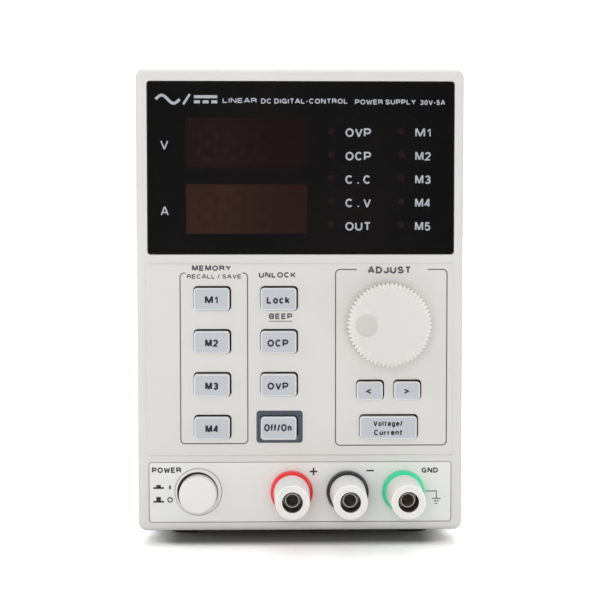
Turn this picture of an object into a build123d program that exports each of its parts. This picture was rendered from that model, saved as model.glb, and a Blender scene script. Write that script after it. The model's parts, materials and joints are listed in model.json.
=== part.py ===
from build123d import *

import os
from math import cos, radians, sin, tan

# Bench power supply, modelled as the assembly of pieces that it comes apart into.
#
# Millimetres. X runs to the right seen from the front, Y runs from the front panel to the rear, and Z
# is up from the surface that the rubber feet stand on. The origin is on that surface, under the middle
# of the whole instrument, with the binding posts and the fan guard counted in. Depths are measured
# backwards from the flat face of the front bezel.

# ---------------------------------------------------------------- driving dimensions
WIDTH = 110.4  # front bezel, outside
BEZEL_HEIGHT = 156.4
FOOT_HEIGHT = 5.0  # the bezel's lower edge above the table
BODY_DEPTH = 232.5  # bezel face to the outside of the rear panel
POST_REACH = 23.5  # binding posts in front of the bezel face
REAR_REACH = 4.0  # fan guard behind the rear panel
OVERALL_DEPTH = POST_REACH + BODY_DEPTH + REAR_REACH
FRONT_Y = POST_REACH - OVERALL_DEPTH / 2

# bezel moulding
BEZEL_DEPTH = 20.0
BEZEL_WALL = 2.5
FRONT_WALL = 3.2
BEZEL_CORNER = 2.8
BEZEL_EDGE = 2.6
BEZEL_MIDDLE = FOOT_HEIGHT + BEZEL_HEIGHT / 2
BEZEL_SCREW_X = 47.5

# display window, heights above the table
LENS_X = 0.25
LENS_WIDTH = 103.2
LENS_LOW = FOOT_HEIGHT + 94.2
LENS_HIGH = FOOT_HEIGHT + 152.1
LENS_CORNER = 1.1
LENS_FRONT = 0.25
LENS_THICKNESS = 1.6
DISPLAY_X = -18.0
DISPLAY_HEIGHTS = {"voltage_display": FOOT_HEIGHT + 131.5, "current_display": FOOT_HEIGHT + 109.4}
DISPLAY_SIZE = (44.0, 17.6)
DISPLAY_FRONT = 2.4
LED_COLUMNS = (10.5, 34.1)
LED_TOP = FOOT_HEIGHT + 135.5
LED_PITCH = 7.8
LED_ROWS = 5
LED_RADIUS = 1.5

# raised key field
FIELD_WIDTH = 103.6
FIELD_LOW = FOOT_HEIGHT + 25.85
FIELD_HIGH = FOOT_HEIGHT + 91.2
FIELD_RISE = 0.6
FIELD_BEVEL = 0.45

# keys
KEY_ROW_TOP = FOOT_HEIGHT + 79.35
KEY_PITCH = 14.53
MEMORY_X = -29.7
PROTECT_X = -7.15
ADJUST_X = 29.95
ARROW_SPREAD = 6.32
ARROW_HEIGHT = FOOT_HEIGHT + 48.3
KEY_SIZE = (12.0, 7.6)
ARROW_SIZE = (8.8, 6.2)
WIDE_SIZE = (19.3, 7.7)
KEY_PROUD = 2.0
KEY_GAP = 0.4
KEY_SLIP = (-0.2, -0.25)  # the keys sit loose, this far from the middles of their holes
KEY_CORNER = 1.1
KEY_FLANGE = 1.0
KEY_STEM = 1.6
SWITCH_FRONT = 6.6

# circuit board behind the key field
BOARD = 1.6
BOARD_FRONT = 10.0
BOARD_WIDTH = 98.0
BOARD_LOW = FOOT_HEIGHT + 29.0
BOARD_HIGH = FOOT_HEIGHT + 150.0
STAKE_X = 45.5
STAKE_HEIGHTS = (FOOT_HEIGHT + 50.0, FOOT_HEIGHT + 75.0)

# encoder and its knob
KNOB_X = 29.3
KNOB_HEIGHT = FOOT_HEIGHT + 71.05
KNOB_BACK = -1.4
KNOB_FRONT = -15.0
KNOB_RADIUS = 13.85
KNOB_FACE = 12.4
KNOB_SHOULDER = 1.4
KNOB_COLLAR = 4.0  # smooth length behind the teeth
KNOB_TEETH = 60
NOTCH_DEPTH = 0.5
NOTCH_WIDTH = 0.62
DIMPLE_OFFSET = 7.6
DIMPLE_RADIUS = 3.85
DIMPLE_DEPTH = 0.9
SHAFT_RADIUS = 3.0
RUNNING = 0.05  # radial clearance of a running fit

# output panel, power button and binding posts
PANEL_WIDTH = 102.6
PANEL_LOW = FOOT_HEIGHT + 3.2
PANEL_HIGH = FOOT_HEIGHT + 23.55
PANEL_CORNER = 1.1
PANEL_GAP = 0.18
PANEL_THICKNESS = 1.8
POWER_X = -34.65
POWER_HEIGHT = FOOT_HEIGHT + 13.17
POWER_RADIUS = 6.4
POWER_PROUD = 5.2
POWER_HOLE_X = -34.95  # the hole and its collar sit a little off the button's own line
POWER_HOLE_HEIGHT = FOOT_HEIGHT + 13.42
POWER_HOLE_RADIUS = 6.95
POWER_STOP = 7.75  # radius of the stop flange
COLLAR_X = -34.64
COLLAR_HEIGHT = FOOT_HEIGHT + 13.55
COLLAR_RADIUS = 7.85
COLLAR_GROOVE = 0.28
POST_X = {"red": -3.0, "black": 16.0, "green": 35.0}
POST_HEIGHT = FOOT_HEIGHT + 13.6
FLANGE_RADIUS = 7.2
FLANGE_FRONT = -3.4
CAP_BACK = -3.7
CAP_RADIUS = 6.1
CAP_FRONT_RADIUS = 5.65
CAP_MOUTH = 3.4
STUD_RADIUS = 2.4
STUD_BORE = 2.05
STUD_FRONT = -19.0
STUD_BACK = 14.0
STUD_BORE_END = -1.0
WIRE_HOLE = 1.1
INSERT_RADIUS = 3.9
INSERT_SPAN = (-12.0, -4.4)

# sheet-metal case
SHEET = 1.2
COVER_SHEET = 1.0
COVER_HALF = 53.0
COVER_TOP = FOOT_HEIGHT + 155.0
COVER_LOW = FOOT_HEIGHT + 1.0
COVER_BEND = 2.5
COVER_FRONT = BEZEL_DEPTH + 0.1
BASE_HALF = COVER_HALF - COVER_SHEET
BASE_LOW = FOOT_HEIGHT + 1.2
BASE_TOP = BASE_LOW + SHEET
FRAME_FRONT = BEZEL_DEPTH
FRAME_BACK = FRAME_FRONT + SHEET
REAR_HALF = BASE_HALF - 0.4
REAR_FRONT = BODY_DEPTH - SHEET
SWITCH_EAR_BACK = FRAME_BACK + 1.8
SWITCH_TAIL = 55.0
FOOT_X = 40.0
FOOT_DEPTHS = (30.0, 208.0)
FOOT_RADIUS = 7.0
SCREW_RADIUS = 1.5
SCREW_HEAD = 2.8
SCREW_HEAD_RISE = 1.9

# rear panel fittings
FAN_HEIGHT = FOOT_HEIGHT + 108.0
FAN_SIZE = 80.0
FAN_THICKNESS = 25.0
FAN_BORE = 38.0
FAN_HOLES = 71.5
FAN_HUB = 15.0
FAN_BLADES = 7
FAN_LOOP = 1.9
INLET_X = 22.0
INLET_HEIGHT = FOOT_HEIGHT + 37.0
INLET_FLANGE = (33.0, 38.0)
INLET_BODY = (28.0, 33.0)
INLET_TAB = 29.0
SOCKET_RISE = 6.0
SOCKET_SIZE = (24.2, 16.4)
SOCKET_DEPTH = 16.5
DRAWER_DROP = 10.8
SELECTOR_X = -26.0
SELECTOR_TRAVEL = 4.4

# inside the case
SHELF_LOW = FOOT_HEIGHT + 81.0
SHELF_DEPTHS = (60.0, 200.0)
MAIN_BOARD_LOW = SHELF_LOW + SHEET + 4.0
MAIN_BOARD_TOP = MAIN_BOARD_LOW + BOARD
CORE_DEPTHS = (96.0, 152.0)
CORE_HALF = 42.0
CORE_HEIGHT = 70.0
CORE_FOOT = 2.0

PARTS = {}


# ---------------------------------------------------------------- shape helpers
def block(x, depth, z):
    """A box between two values of X, two depths and two heights."""
    centre = ((x[0] + x[1]) / 2, FRONT_Y + (depth[0] + depth[1]) / 2, (z[0] + z[1]) / 2)
    return Pos(*centre) * Box(x[1] - x[0], depth[1] - depth[0], z[1] - z[0])


def upright(x, depth, z):
    """A plane that faces the front, with local x along X and local y up."""
    return Plane(origin=(x, FRONT_Y + depth, z), x_dir=(1, 0, 0), z_dir=(0, -1, 0))


def plate(x, z, size, corner, front, back):
    """A rounded rectangle seen from the front, solid from depth front to depth back."""
    return extrude(upright(x, back, z) * RectangleRounded(*size, corner), back - front)


def rod(x, z, radius, front, back):
    """A cylinder along Y between two depths."""
    return extrude(upright(x, back, z) * Circle(radius), back - front)


def post(x, depth, radius, low, high):
    """A cylinder along Z between two heights."""
    return Pos(x, FRONT_Y + depth, (low + high) / 2) * Cylinder(radius, high - low)


def turned(x, z, profile):
    """A solid of revolution about the line along Y at (x, z). The profile holds (radius, depth) points."""
    plane = Plane(origin=(x, FRONT_Y, z), x_dir=(1, 0, 0), z_dir=(0, 0, 1))
    outline = plane * make_face(Polyline(*profile, close=True))
    return revolve(outline, Axis((x, FRONT_Y, z), (0, 1, 0)))


def ring(x, z, outer, inner, front, back):
    """A tube along Y."""
    return rod(x, z, outer, front, back) - rod(x, z, inner, front, back)


def front_edges(shape):
    """The edges of the face nearest the front."""
    return shape.faces().sort_by(Axis.Y)[0].edges()


def back_edges(shape):
    """The edges of the face nearest the rear."""
    return shape.faces().sort_by(Axis.Y)[-1].edges()


def wire_run(points, radius):
    """A round wire along straight runs that are joined by arcs as large as the runs allow."""
    route = [Vector(x, FRONT_Y + depth, z) for x, depth, z in points]
    radii = []
    for before, here, after in zip(route, route[1:], route[2:]):
        turn = (here - before).get_angle(after - here)
        shorter = min((here - before).length, (after - here).length)
        radii.append(0.45 * shorter / tan(radians(turn) / 2))
    path = FilletPolyline(*route, radius=radii)
    start = Plane(origin=path @ 0, z_dir=path % 0)
    return sweep(start * Circle(radius), path=path)


def screw(x, depth, z, length):
    """A cross-recess screw along Y, the underside of its head at depth and its shank running forwards."""
    head = rod(x, z, SCREW_HEAD, depth, depth + SCREW_HEAD_RISE)
    head = fillet(back_edges(head), 0.7)
    for size in ((3.0, 0.6), (0.6, 3.0)):
        head -= plate(x, z, size, 0.2, depth + 1.0, depth + SCREW_HEAD_RISE)
    return head + rod(x, z, SCREW_RADIUS, depth - length, depth)


def turned_screw(model, origin, direction):
    """A screw made at the front plane's origin, set at origin with its head towards direction."""
    return Plane(origin=origin, z_dir=direction) * Rot(90, 0, 0) * Pos(0, -FRONT_Y, 0) * model


def keep(name, shape):
    """Files a finished piece under its node name."""
    PARTS[name] = shape


# ---------------------------------------------------------------- keys
def key_table():
    """Each key's name with its place and size."""
    keys = {}
    for row in range(4):
        keys[f"memory_key_{row + 1}"] = (MEMORY_X, KEY_ROW_TOP - row * KEY_PITCH, KEY_SIZE)
    for row, name in enumerate(("lock_key", "over_current_key", "over_voltage_key", "output_key")):
        keys[name] = (PROTECT_X, KEY_ROW_TOP - row * KEY_PITCH, KEY_SIZE)
    keys["left_key"] = (ADJUST_X - ARROW_SPREAD, ARROW_HEIGHT, ARROW_SIZE)
    keys["right_key"] = (ADJUST_X + ARROW_SPREAD, ARROW_HEIGHT, ARROW_SIZE)
    keys["mode_key"] = (ADJUST_X, KEY_ROW_TOP - 3 * KEY_PITCH, WIDE_SIZE)
    return keys


def key_cap(x, z, size):
    """A moulded cap with a catching flange behind the bezel and a stem into its switch."""
    left, low = x + KEY_SLIP[0], z + KEY_SLIP[1]
    back = FRONT_WALL + 0.5
    cap = plate(left, low, size, KEY_CORNER, -FIELD_RISE - KEY_PROUD, back)
    cap = fillet(front_edges(cap), 0.55)
    flange_size = (size[0] + 2 * KEY_FLANGE, size[1] + 2 * KEY_FLANGE)
    cap += plate(left, low, flange_size, KEY_CORNER, back - 0.1, back + 1.0)
    return cap + rod(left, low, KEY_STEM, back + 1.0, SWITCH_FRONT + 0.4)


def key_switch(x, z):
    """A tactile switch: a square body with a well that the key's stem works in."""
    left, low = x + KEY_SLIP[0], z + KEY_SLIP[1]
    body = plate(left, low, (6.0, 6.0), 0.4, SWITCH_FRONT, BOARD_FRONT)
    return body - rod(left, low, KEY_STEM + RUNNING, SWITCH_FRONT, SWITCH_FRONT + 1.4)


# ---------------------------------------------------------------- front moulding
def front_bezel():
    """The moulded front: a shallow tray with its rim towards the rear, and every opening in its face."""
    body = plate(0, BEZEL_MIDDLE, (WIDTH, BEZEL_HEIGHT), BEZEL_CORNER, 0, BEZEL_DEPTH)
    body = fillet(front_edges(body), BEZEL_EDGE)
    inside = (WIDTH - 2 * BEZEL_WALL, BEZEL_HEIGHT - 2 * BEZEL_WALL)
    body -= plate(0, BEZEL_MIDDLE, inside, 1.2, FRONT_WALL, BEZEL_DEPTH)
    field_middle = (FIELD_LOW + FIELD_HIGH) / 2
    field = plate(0, field_middle, (FIELD_WIDTH, FIELD_HIGH - FIELD_LOW), 0.5, -FIELD_RISE, 0.5)
    body += chamfer(front_edges(field), FIELD_BEVEL)
    lens_middle = (LENS_LOW + LENS_HIGH) / 2
    lens_size = (LENS_WIDTH + 0.3, LENS_HIGH - LENS_LOW + 0.3)
    body -= plate(LENS_X, lens_middle, lens_size, LENS_CORNER, -1, LENS_FRONT + LENS_THICKNESS)
    body -= plate(LENS_X, lens_middle, (lens_size[0] - 7, lens_size[1] - 7), 1, 0, FRONT_WALL + 1)
    panel_middle = (PANEL_LOW + PANEL_HIGH) / 2
    panel_size = (PANEL_WIDTH + 2 * PANEL_GAP, PANEL_HIGH - PANEL_LOW + 2 * PANEL_GAP)
    body -= plate(0, panel_middle, panel_size, PANEL_CORNER, -1, PANEL_THICKNESS)
    body -= plate(0, panel_middle, (panel_size[0] - 5, panel_size[1] - 4), 1, 0, FRONT_WALL + 1)
    for x, z, size in key_table().values():
        hole = (size[0] + 2 * KEY_GAP, size[1] + 2 * KEY_GAP)
        body -= plate(x, z, hole, KEY_CORNER + KEY_GAP, -2, FRONT_WALL + 1)
    body -= rod(KNOB_X, KNOB_HEIGHT, 3.9, -2, FRONT_WALL + 1)
    for x in (-BEZEL_SCREW_X, BEZEL_SCREW_X):
        for z in bezel_screw_heights():
            side = 1 if x > 0 else -1
            body += rod(x, z, 3.2, FRONT_WALL - 0.5, BEZEL_DEPTH)
            body += block(sorted((x, side * 53)), (FRONT_WALL, BEZEL_DEPTH - 3), (z - 1, z + 1))
            body -= rod(x, z, SCREW_RADIUS + 0.02, 8, BEZEL_DEPTH)
    for x in (-STAKE_X, STAKE_X):
        for z in STAKE_HEIGHTS:
            body += rod(x, z, 2.2, FRONT_WALL - 0.5, BOARD_FRONT)
            body += rod(x, z, 1.1, BOARD_FRONT - 0.1, BOARD_FRONT + BOARD + 0.8)
    return body


def bezel_screw_heights():
    """Heights of the screws that hold the bezel to the frame behind it."""
    return (FOOT_HEIGHT + 27.0, FOOT_HEIGHT + 91.0)


def display_lens():
    """The acrylic window in front of the displays."""
    size = (LENS_WIDTH, LENS_HIGH - LENS_LOW)
    middle = (LENS_LOW + LENS_HIGH) / 2
    lens = plate(LENS_X, middle, size, LENS_CORNER, LENS_FRONT, LENS_FRONT + LENS_THICKNESS)
    return chamfer(front_edges(lens), 0.2)


def output_panel():
    """The inset lower panel for the binding posts, with a raised and grooved collar round the power button."""
    middle = (PANEL_LOW + PANEL_HIGH) / 2
    panel = plate(0, middle, (PANEL_WIDTH, PANEL_HIGH - PANEL_LOW), PANEL_CORNER - 0.2, 0, PANEL_THICKNESS)
    panel = chamfer(front_edges(panel), 0.15)
    collar = rod(COLLAR_X, COLLAR_HEIGHT, COLLAR_RADIUS, -0.45, 0.5)
    panel += fillet(front_edges(collar), 0.15)
    panel -= ring(COLLAR_X, COLLAR_HEIGHT, COLLAR_RADIUS + COLLAR_GROOVE, COLLAR_RADIUS, -0.5, 0.5)
    panel -= rod(POWER_HOLE_X, POWER_HOLE_HEIGHT, POWER_HOLE_RADIUS, -1, PANEL_THICKNESS)
    for x in POST_X.values():
        panel -= rod(x, POST_HEIGHT, 4.5 + RUNNING, -1, PANEL_THICKNESS)
    return panel


def display_module(z):
    """A four-digit light-emitting display block."""
    block_shape = plate(DISPLAY_X, z, DISPLAY_SIZE, 0.4, DISPLAY_FRONT, BOARD_FRONT)
    return chamfer(front_edges(block_shape), 0.3)


def indicator_leds():
    """Ten small round-nosed lamps in two columns."""
    lamps = []
    for x in LED_COLUMNS:
        for row in range(LED_ROWS):
            z = LED_TOP - row * LED_PITCH
            lamp = rod(x, z, LED_RADIUS, 3.4, BOARD_FRONT)
            lamps.append(fillet(front_edges(lamp), 1.2))
    return Compound(children=lamps)


def front_board():
    """The board for keys, displays and encoder, notched for screw bosses and drilled for heat stakes."""
    size = (BOARD_WIDTH, BOARD_HIGH - BOARD_LOW)
    board = plate(0, (BOARD_LOW + BOARD_HIGH) / 2, size, 1, BOARD_FRONT, BOARD_FRONT + BOARD)
    for x in (-BEZEL_SCREW_X, BEZEL_SCREW_X):
        for z in bezel_screw_heights():
            board -= plate(x, z, (9, 9), 1, BOARD_FRONT - 1, BOARD_FRONT + BOARD + 1)
    for x in (-STAKE_X, STAKE_X):
        for z in STAKE_HEIGHTS:
            board -= rod(x, z, 1.15, BOARD_FRONT - 1, BOARD_FRONT + BOARD + 1)
    return board


# ---------------------------------------------------------------- encoder and knob
def encoder_body():
    """The rotary encoder's square body and threaded bush, bored for its shaft."""
    body = plate(KNOB_X, KNOB_HEIGHT, (12.4, 13.2), 0.5, 4.0, BOARD_FRONT)
    body += rod(KNOB_X, KNOB_HEIGHT, 3.7, -0.4, 4.0)
    return body - rod(KNOB_X, KNOB_HEIGHT, SHAFT_RADIUS + RUNNING, -1, 6.6)


def encoder_shaft():
    """A steel shaft with a D flat where the knob grips it."""
    shaft = rod(KNOB_X, KNOB_HEIGHT, SHAFT_RADIUS, -12.0, 6.4)
    flat_low = KNOB_HEIGHT + 1.6
    return shaft - block((KNOB_X - 4, KNOB_X + 4), (-13, -2.5), (flat_low, flat_low + 4))


def knob_blank(trim):
    """The knob's plain bevelled form, made smaller all round its rim by that much."""
    shoulder = KNOB_FRONT + KNOB_SHOULDER
    outline = [(0, KNOB_BACK), (KNOB_RADIUS - trim, KNOB_BACK), (KNOB_RADIUS - trim, shoulder)]
    outline += [(KNOB_FACE - trim, KNOB_FRONT), (0, KNOB_FRONT)]
    return fillet(front_edges(turned(KNOB_X, KNOB_HEIGHT, outline)), 0.4)


def encoder_knob():
    """The adjusting knob: a flat face, a bevelled rim notched into teeth and a round finger dimple."""
    x, z = KNOB_X, KNOB_HEIGHT
    reach = 4.0
    notch = Rectangle(reach, NOTCH_WIDTH)
    notches = Sketch() + PolarLocations(KNOB_FACE - NOTCH_DEPTH - 0.1 + reach / 2, KNOB_TEETH) * notch
    start = KNOB_BACK - KNOB_COLLAR
    knob = knob_blank(0) - extrude(upright(x, start, z) * notches, start + 1 - KNOB_FRONT)
    knob += knob_blank(NOTCH_DEPTH)
    dimple = rod(x - DIMPLE_OFFSET, z, DIMPLE_RADIUS, KNOB_FRONT - 1, KNOB_FRONT + DIMPLE_DEPTH)
    knob -= fillet(back_edges(dimple), 0.5)
    lip = [e for e in knob.edges().filter_by(GeomType.CIRCLE) if abs(e.radius - DIMPLE_RADIUS) < 0.01]
    knob = fillet(lip, 0.3)
    knob -= ring(x, z, 11.6, 5.4, -11.5, KNOB_BACK + 0.1)
    return knob - knob_bore(x, z)


def knob_bore(x, z):
    """The knob's blind bore, a close match for the shaft and its flat."""
    bore = rod(x, z, SHAFT_RADIUS + 0.02, -12.3, KNOB_BACK + 1)
    flat_low = z + 1.62
    return bore - block((x - 4, x + 4), (-13, -2.7), (flat_low, flat_low + 4))


# ---------------------------------------------------------------- power switch
def power_button():
    """A round push button with a stop flange behind the panel and a stem into the mains switch."""
    button = rod(POWER_X, POWER_HEIGHT, POWER_RADIUS, -POWER_PROUD, 6.0)
    button = fillet(front_edges(button), 0.9)
    button += rod(POWER_X, POWER_HEIGHT, POWER_STOP, 2.4, 3.6)
    return button + plate(POWER_X, POWER_HEIGHT, (4.0, 4.0), 0.4, 6.0, 28.0)


def power_switch():
    """The latching mains switch behind the button, with ears that screw to the frame and two terminals."""
    body = plate(POWER_X, POWER_HEIGHT, (14.0, 14.0), 0.8, FRAME_BACK, 50.0)
    body += plate(POWER_X, POWER_HEIGHT, (26.0, 8.0), 1.0, FRAME_BACK, SWITCH_EAR_BACK)
    for x in switch_screw_places():
        body -= rod(x, POWER_HEIGHT, SCREW_RADIUS + 0.05, FRAME_BACK - 1, SWITCH_EAR_BACK + 1)
    body -= plate(POWER_X, POWER_HEIGHT, (4.3, 4.3), 0.4, FRAME_BACK - 1, 32.0)
    for side in (-1, 1):
        terminal = sorted((POWER_X + side * 3, POWER_X + side * 4))
        body += block(terminal, (49.5, SWITCH_TAIL), (POWER_HEIGHT - 2, POWER_HEIGHT + 2))
    return body


def switch_screw_places():
    """X of the two screws through the mains switch's ears."""
    return (POWER_X - 10.0, POWER_X + 10.0)


# ---------------------------------------------------------------- binding posts
def post_flange(x):
    """The coloured base ring of a binding post, with a boss through the panel."""
    base = rod(x, POST_HEIGHT, FLANGE_RADIUS, FLANGE_FRONT, 0)
    base = fillet(front_edges(base), 1.3)
    base += rod(x, POST_HEIGHT, 4.5, -0.1, PANEL_THICKNESS - 0.1)
    return base - rod(x, POST_HEIGHT, STUD_RADIUS + 0.02, FLANGE_FRONT - 1, PANEL_THICKNESS + 1)


def post_stud(x):
    """The brass stud: a 4 mm plug socket from the front, a cross hole for bare wire and a solid tail."""
    stud = rod(x, POST_HEIGHT, STUD_RADIUS, STUD_FRONT, STUD_BACK)
    stud = chamfer(back_edges(stud), 0.4)
    stud -= rod(x, POST_HEIGHT, STUD_BORE, STUD_FRONT - 1, STUD_BORE_END)
    stud = chamfer(front_edges(stud), 0.12)
    wire_height = POST_HEIGHT + 4
    wire_depth = FLANGE_FRONT - 1.6
    return stud - post(x, wire_depth, WIRE_HOLE, POST_HEIGHT - 4, wire_height)


def post_cap(x):
    """The insulated clamping cap: a smooth tapered sleeve, open in front for the plug."""
    outline = [(0, CAP_BACK), (CAP_RADIUS, CAP_BACK), (CAP_FRONT_RADIUS, -POST_REACH), (0, -POST_REACH)]
    cap = turned(x, POST_HEIGHT, outline)
    cap = fillet(front_edges(cap), 0.5)
    cap = fillet(back_edges(cap), 0.3)
    cap -= rod(x, POST_HEIGHT, CAP_MOUTH, -POST_REACH - 1, CAP_BACK + 1)
    cap -= rod(x, POST_HEIGHT, INSERT_RADIUS + 0.02, INSERT_SPAN[0] - 0.1, CAP_BACK + 1)
    mouth = [e for e in front_edges(cap) if e.radius < CAP_MOUTH + 0.1]
    return fillet(mouth, 0.3)


def post_insert(x):
    """The brass nut moulded into the cap, which runs on the stud."""
    return ring(x, POST_HEIGHT, INSERT_RADIUS, STUD_RADIUS + RUNNING, *INSERT_SPAN)


def post_nut(x):
    """An insulating washer and a hexagon nut that clamp the post from behind."""
    washer_back = PANEL_THICKNESS + 1.6
    washer = ring(x, POST_HEIGHT, 6.4, STUD_RADIUS + 0.02, PANEL_THICKNESS, washer_back)
    nut = extrude(upright(x, washer_back + 4.0, POST_HEIGHT) * RegularPolygon(4.6, 6), 4.0)
    nut -= rod(x, POST_HEIGHT, STUD_RADIUS + 0.02, washer_back - 1, washer_back + 5)
    return [washer, nut]


# ---------------------------------------------------------------- case
def chassis_base():
    """The folded steel base: floor, side lips, rear lip and the frame behind the bezel."""
    floor_depths = (FRAME_FRONT, REAR_FRONT)
    base = block((-BASE_HALF, BASE_HALF), floor_depths, (BASE_LOW, BASE_TOP))
    for side in (-1, 1):
        lip = sorted((side * BASE_HALF, side * (BASE_HALF - SHEET)))
        base += block(lip, floor_depths, (BASE_LOW, BASE_LOW + 12))
    base += block((-BASE_HALF, BASE_HALF), (FRAME_FRONT, FRAME_BACK), (BASE_LOW, COVER_TOP - 3))
    base -= plate(0, FOOT_HEIGHT + 88, (82, 116), 3, 15, 30)
    base -= plate(17, POST_HEIGHT + 1, (58, 18), 2, 15, 30)
    base -= rod(POWER_X, POWER_HEIGHT, 6.0, 15, 30)
    for side in (-1, 1):
        lip = sorted((side * 36, side * 51))
        base += block(lip, (REAR_FRONT - SHEET, REAR_FRONT), (BASE_LOW, BASE_LOW + 12))
    for x in (-BEZEL_SCREW_X, BEZEL_SCREW_X):
        for z in bezel_screw_heights():
            base -= rod(x, z, SCREW_RADIUS + 0.1, 15, 30)
    for x in switch_screw_places():
        base -= rod(x, POWER_HEIGHT, SCREW_RADIUS + 0.05, 15, 30)
    for depth in FOOT_DEPTHS:
        for x in (-FOOT_X, FOOT_X):
            base -= post(x, depth, SCREW_RADIUS + 0.05, BASE_LOW - 1, BASE_TOP + 1)
    for x, depth in core_screw_places():
        base -= post(x, depth, SCREW_RADIUS + 0.05, BASE_LOW - 1, BASE_TOP + 1)
    base -= side_screw_holes()
    for x, z in rear_screw_places()[:2]:
        base -= rod(x, z, SCREW_RADIUS + 0.05, REAR_FRONT - 5, REAR_FRONT)
    return base


def side_screw_height():
    """Height of the screws along the cover's lower edges."""
    return BASE_LOW + 7.0


def side_screw_places():
    """X of the cover's outside and depth, for the screws along the cover's lower edges."""
    return [(side * COVER_HALF, depth) for side in (-1, 1) for depth in (46.0, 126.0, 206.0)]


def side_screw_holes():
    """Cutters for the screws along the cover's lower edges."""
    hole = rod(0, 0, SCREW_RADIUS + 0.05, -8, 8)
    height = side_screw_height()
    return [turned_screw(hole, (x, FRONT_Y + depth, height), (1, 0, 0)) for x, depth in side_screw_places()]


def rear_screw_places():
    """X and height of the rear panel's screws, the lower pair first."""
    return [(x, z) for z in (BASE_LOW + 7.0, COVER_TOP - 6.0) for x in (-45.5, 45.5)]


def vent_slot(depth, low, high):
    """A cutter for one ventilation slot through both sides of the cover."""
    middle = (low + high) / 2
    side_plane = Plane(origin=(-COVER_HALF - 2, FRONT_Y + depth, middle), x_dir=(0, 0, 1), z_dir=(1, 0, 0))
    return extrude(side_plane * SlotOverall(high - low, 2.6), 2 * COVER_HALF + 4)


def top_cover():
    """The U-shaped steel cover, slotted for air on both sides, with tabs for the rear panel."""
    low = COVER_LOW
    height = COVER_TOP - low
    outer = plate(0, low + height / 2, (2 * COVER_HALF, height), COVER_BEND, COVER_FRONT, BODY_DEPTH)
    inner_half = COVER_HALF - COVER_SHEET
    inner_top = COVER_TOP - COVER_SHEET
    inner_size = (2 * inner_half, inner_top - low + 20)
    inner_middle = inner_top - inner_size[1] / 2
    past = (COVER_FRONT - 1, BODY_DEPTH + 1)
    cover = outer - plate(0, inner_middle, inner_size, COVER_BEND - COVER_SHEET, *past)
    cover -= block((-COVER_HALF - 1, COVER_HALF + 1), past, (low - 1, low + COVER_BEND))
    tab_depths = (REAR_FRONT - COVER_SHEET, REAR_FRONT)
    for side in (-1, 1):
        cover += block(sorted((side * 41, side * 50)), tab_depths, (COVER_TOP - 12, inner_top + 0.2))
    for x, z in rear_screw_places()[2:]:
        cover -= rod(x, z, SCREW_RADIUS + 0.05, REAR_FRONT - 5, REAR_FRONT)
    for row_low in (FOOT_HEIGHT + 26.0, FOOT_HEIGHT + 104.0):
        for column in range(13):
            cover -= vent_slot(96.0 + 9.0 * column, row_low, row_low + 26.0)
    return cover - side_screw_holes()


def rear_panel():
    """The flat steel rear panel, cut out for the fan, the mains inlet and the voltage selector."""
    top = COVER_TOP - COVER_SHEET - 0.3
    size = (2 * REAR_HALF, top - BASE_LOW)
    panel = plate(0, (top + BASE_LOW) / 2, size, 1.0, REAR_FRONT, BODY_DEPTH)
    panel -= rod(0, FAN_HEIGHT, FAN_BORE, REAR_FRONT - 1, BODY_DEPTH + 1)
    for x, z in fan_screw_places():
        panel -= rod(x, z, 2.1, REAR_FRONT - 1, BODY_DEPTH + 1)
    cutout = (INLET_BODY[0] + 0.4, INLET_BODY[1] + 0.4)
    panel -= plate(INLET_X, INLET_HEIGHT, cutout, 0.5, REAR_FRONT - 1, BODY_DEPTH + 1)
    panel -= plate(SELECTOR_X, INLET_HEIGHT, (22.4, 12.4), 0.5, REAR_FRONT - 1, BODY_DEPTH + 1)
    for x, z in rear_screw_places():
        panel -= rod(x, z, SCREW_RADIUS + 0.1, REAR_FRONT - 1, BODY_DEPTH + 1)
    return panel


def feet():
    """Four tapered rubber feet, recessed for their screws."""
    shapes = []
    for depth in FOOT_DEPTHS:
        for x in (-FOOT_X, FOOT_X):
            foot = Pos(x, FRONT_Y + depth, BASE_LOW / 2) * Cone(FOOT_RADIUS - 1.0, FOOT_RADIUS, BASE_LOW)
            foot = fillet(foot.faces().sort_by(Axis.Z)[0].edges(), 0.6)
            foot -= post(x, depth, 3.2, -1, 2.6)
            shapes.append(foot - post(x, depth, SCREW_RADIUS + 0.02, 0, BASE_LOW + 1))
    return Compound(children=shapes)


def foot_screws():
    """The screws that hold the feet, heads hidden in the recesses."""
    return Compound(children=[
        turned_screw(screw(0, 0, 0, 7.0), (x, FRONT_Y + depth, 2.6), (0, 0, -1))
        for depth in FOOT_DEPTHS for x in (-FOOT_X, FOOT_X)
    ])


def case_screws():
    """The identical screws of the cover's sides and the rear panel."""
    shapes = [screw(x, BODY_DEPTH, z, 5.0) for x, z in rear_screw_places()]
    for x, depth in side_screw_places():
        outwards = (1 if x > 0 else -1, 0, 0)
        shapes.append(turned_screw(screw(0, 0, 0, 5.0), (x, FRONT_Y + depth, side_screw_height()), outwards))
    return Compound(children=shapes)


def frame_screws():
    """Four screws through the frame into the bezel's bosses and two through the switch's ears."""
    places = [(x, z) for x in (-BEZEL_SCREW_X, BEZEL_SCREW_X) for z in bezel_screw_heights()]
    bosses = [screw(x, FRAME_BACK, z, 10.0) for x, z in places]
    ears = [screw(x, SWITCH_EAR_BACK, POWER_HEIGHT, 5.0) for x in switch_screw_places()]
    return Compound(children=bosses + ears)


# ---------------------------------------------------------------- fan
def fan_screw_places():
    """X and height of the fan's four screws."""
    half = FAN_HOLES / 2
    return [(x, FAN_HEIGHT + z) for x in (-half, half) for z in (-half, half)]


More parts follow.
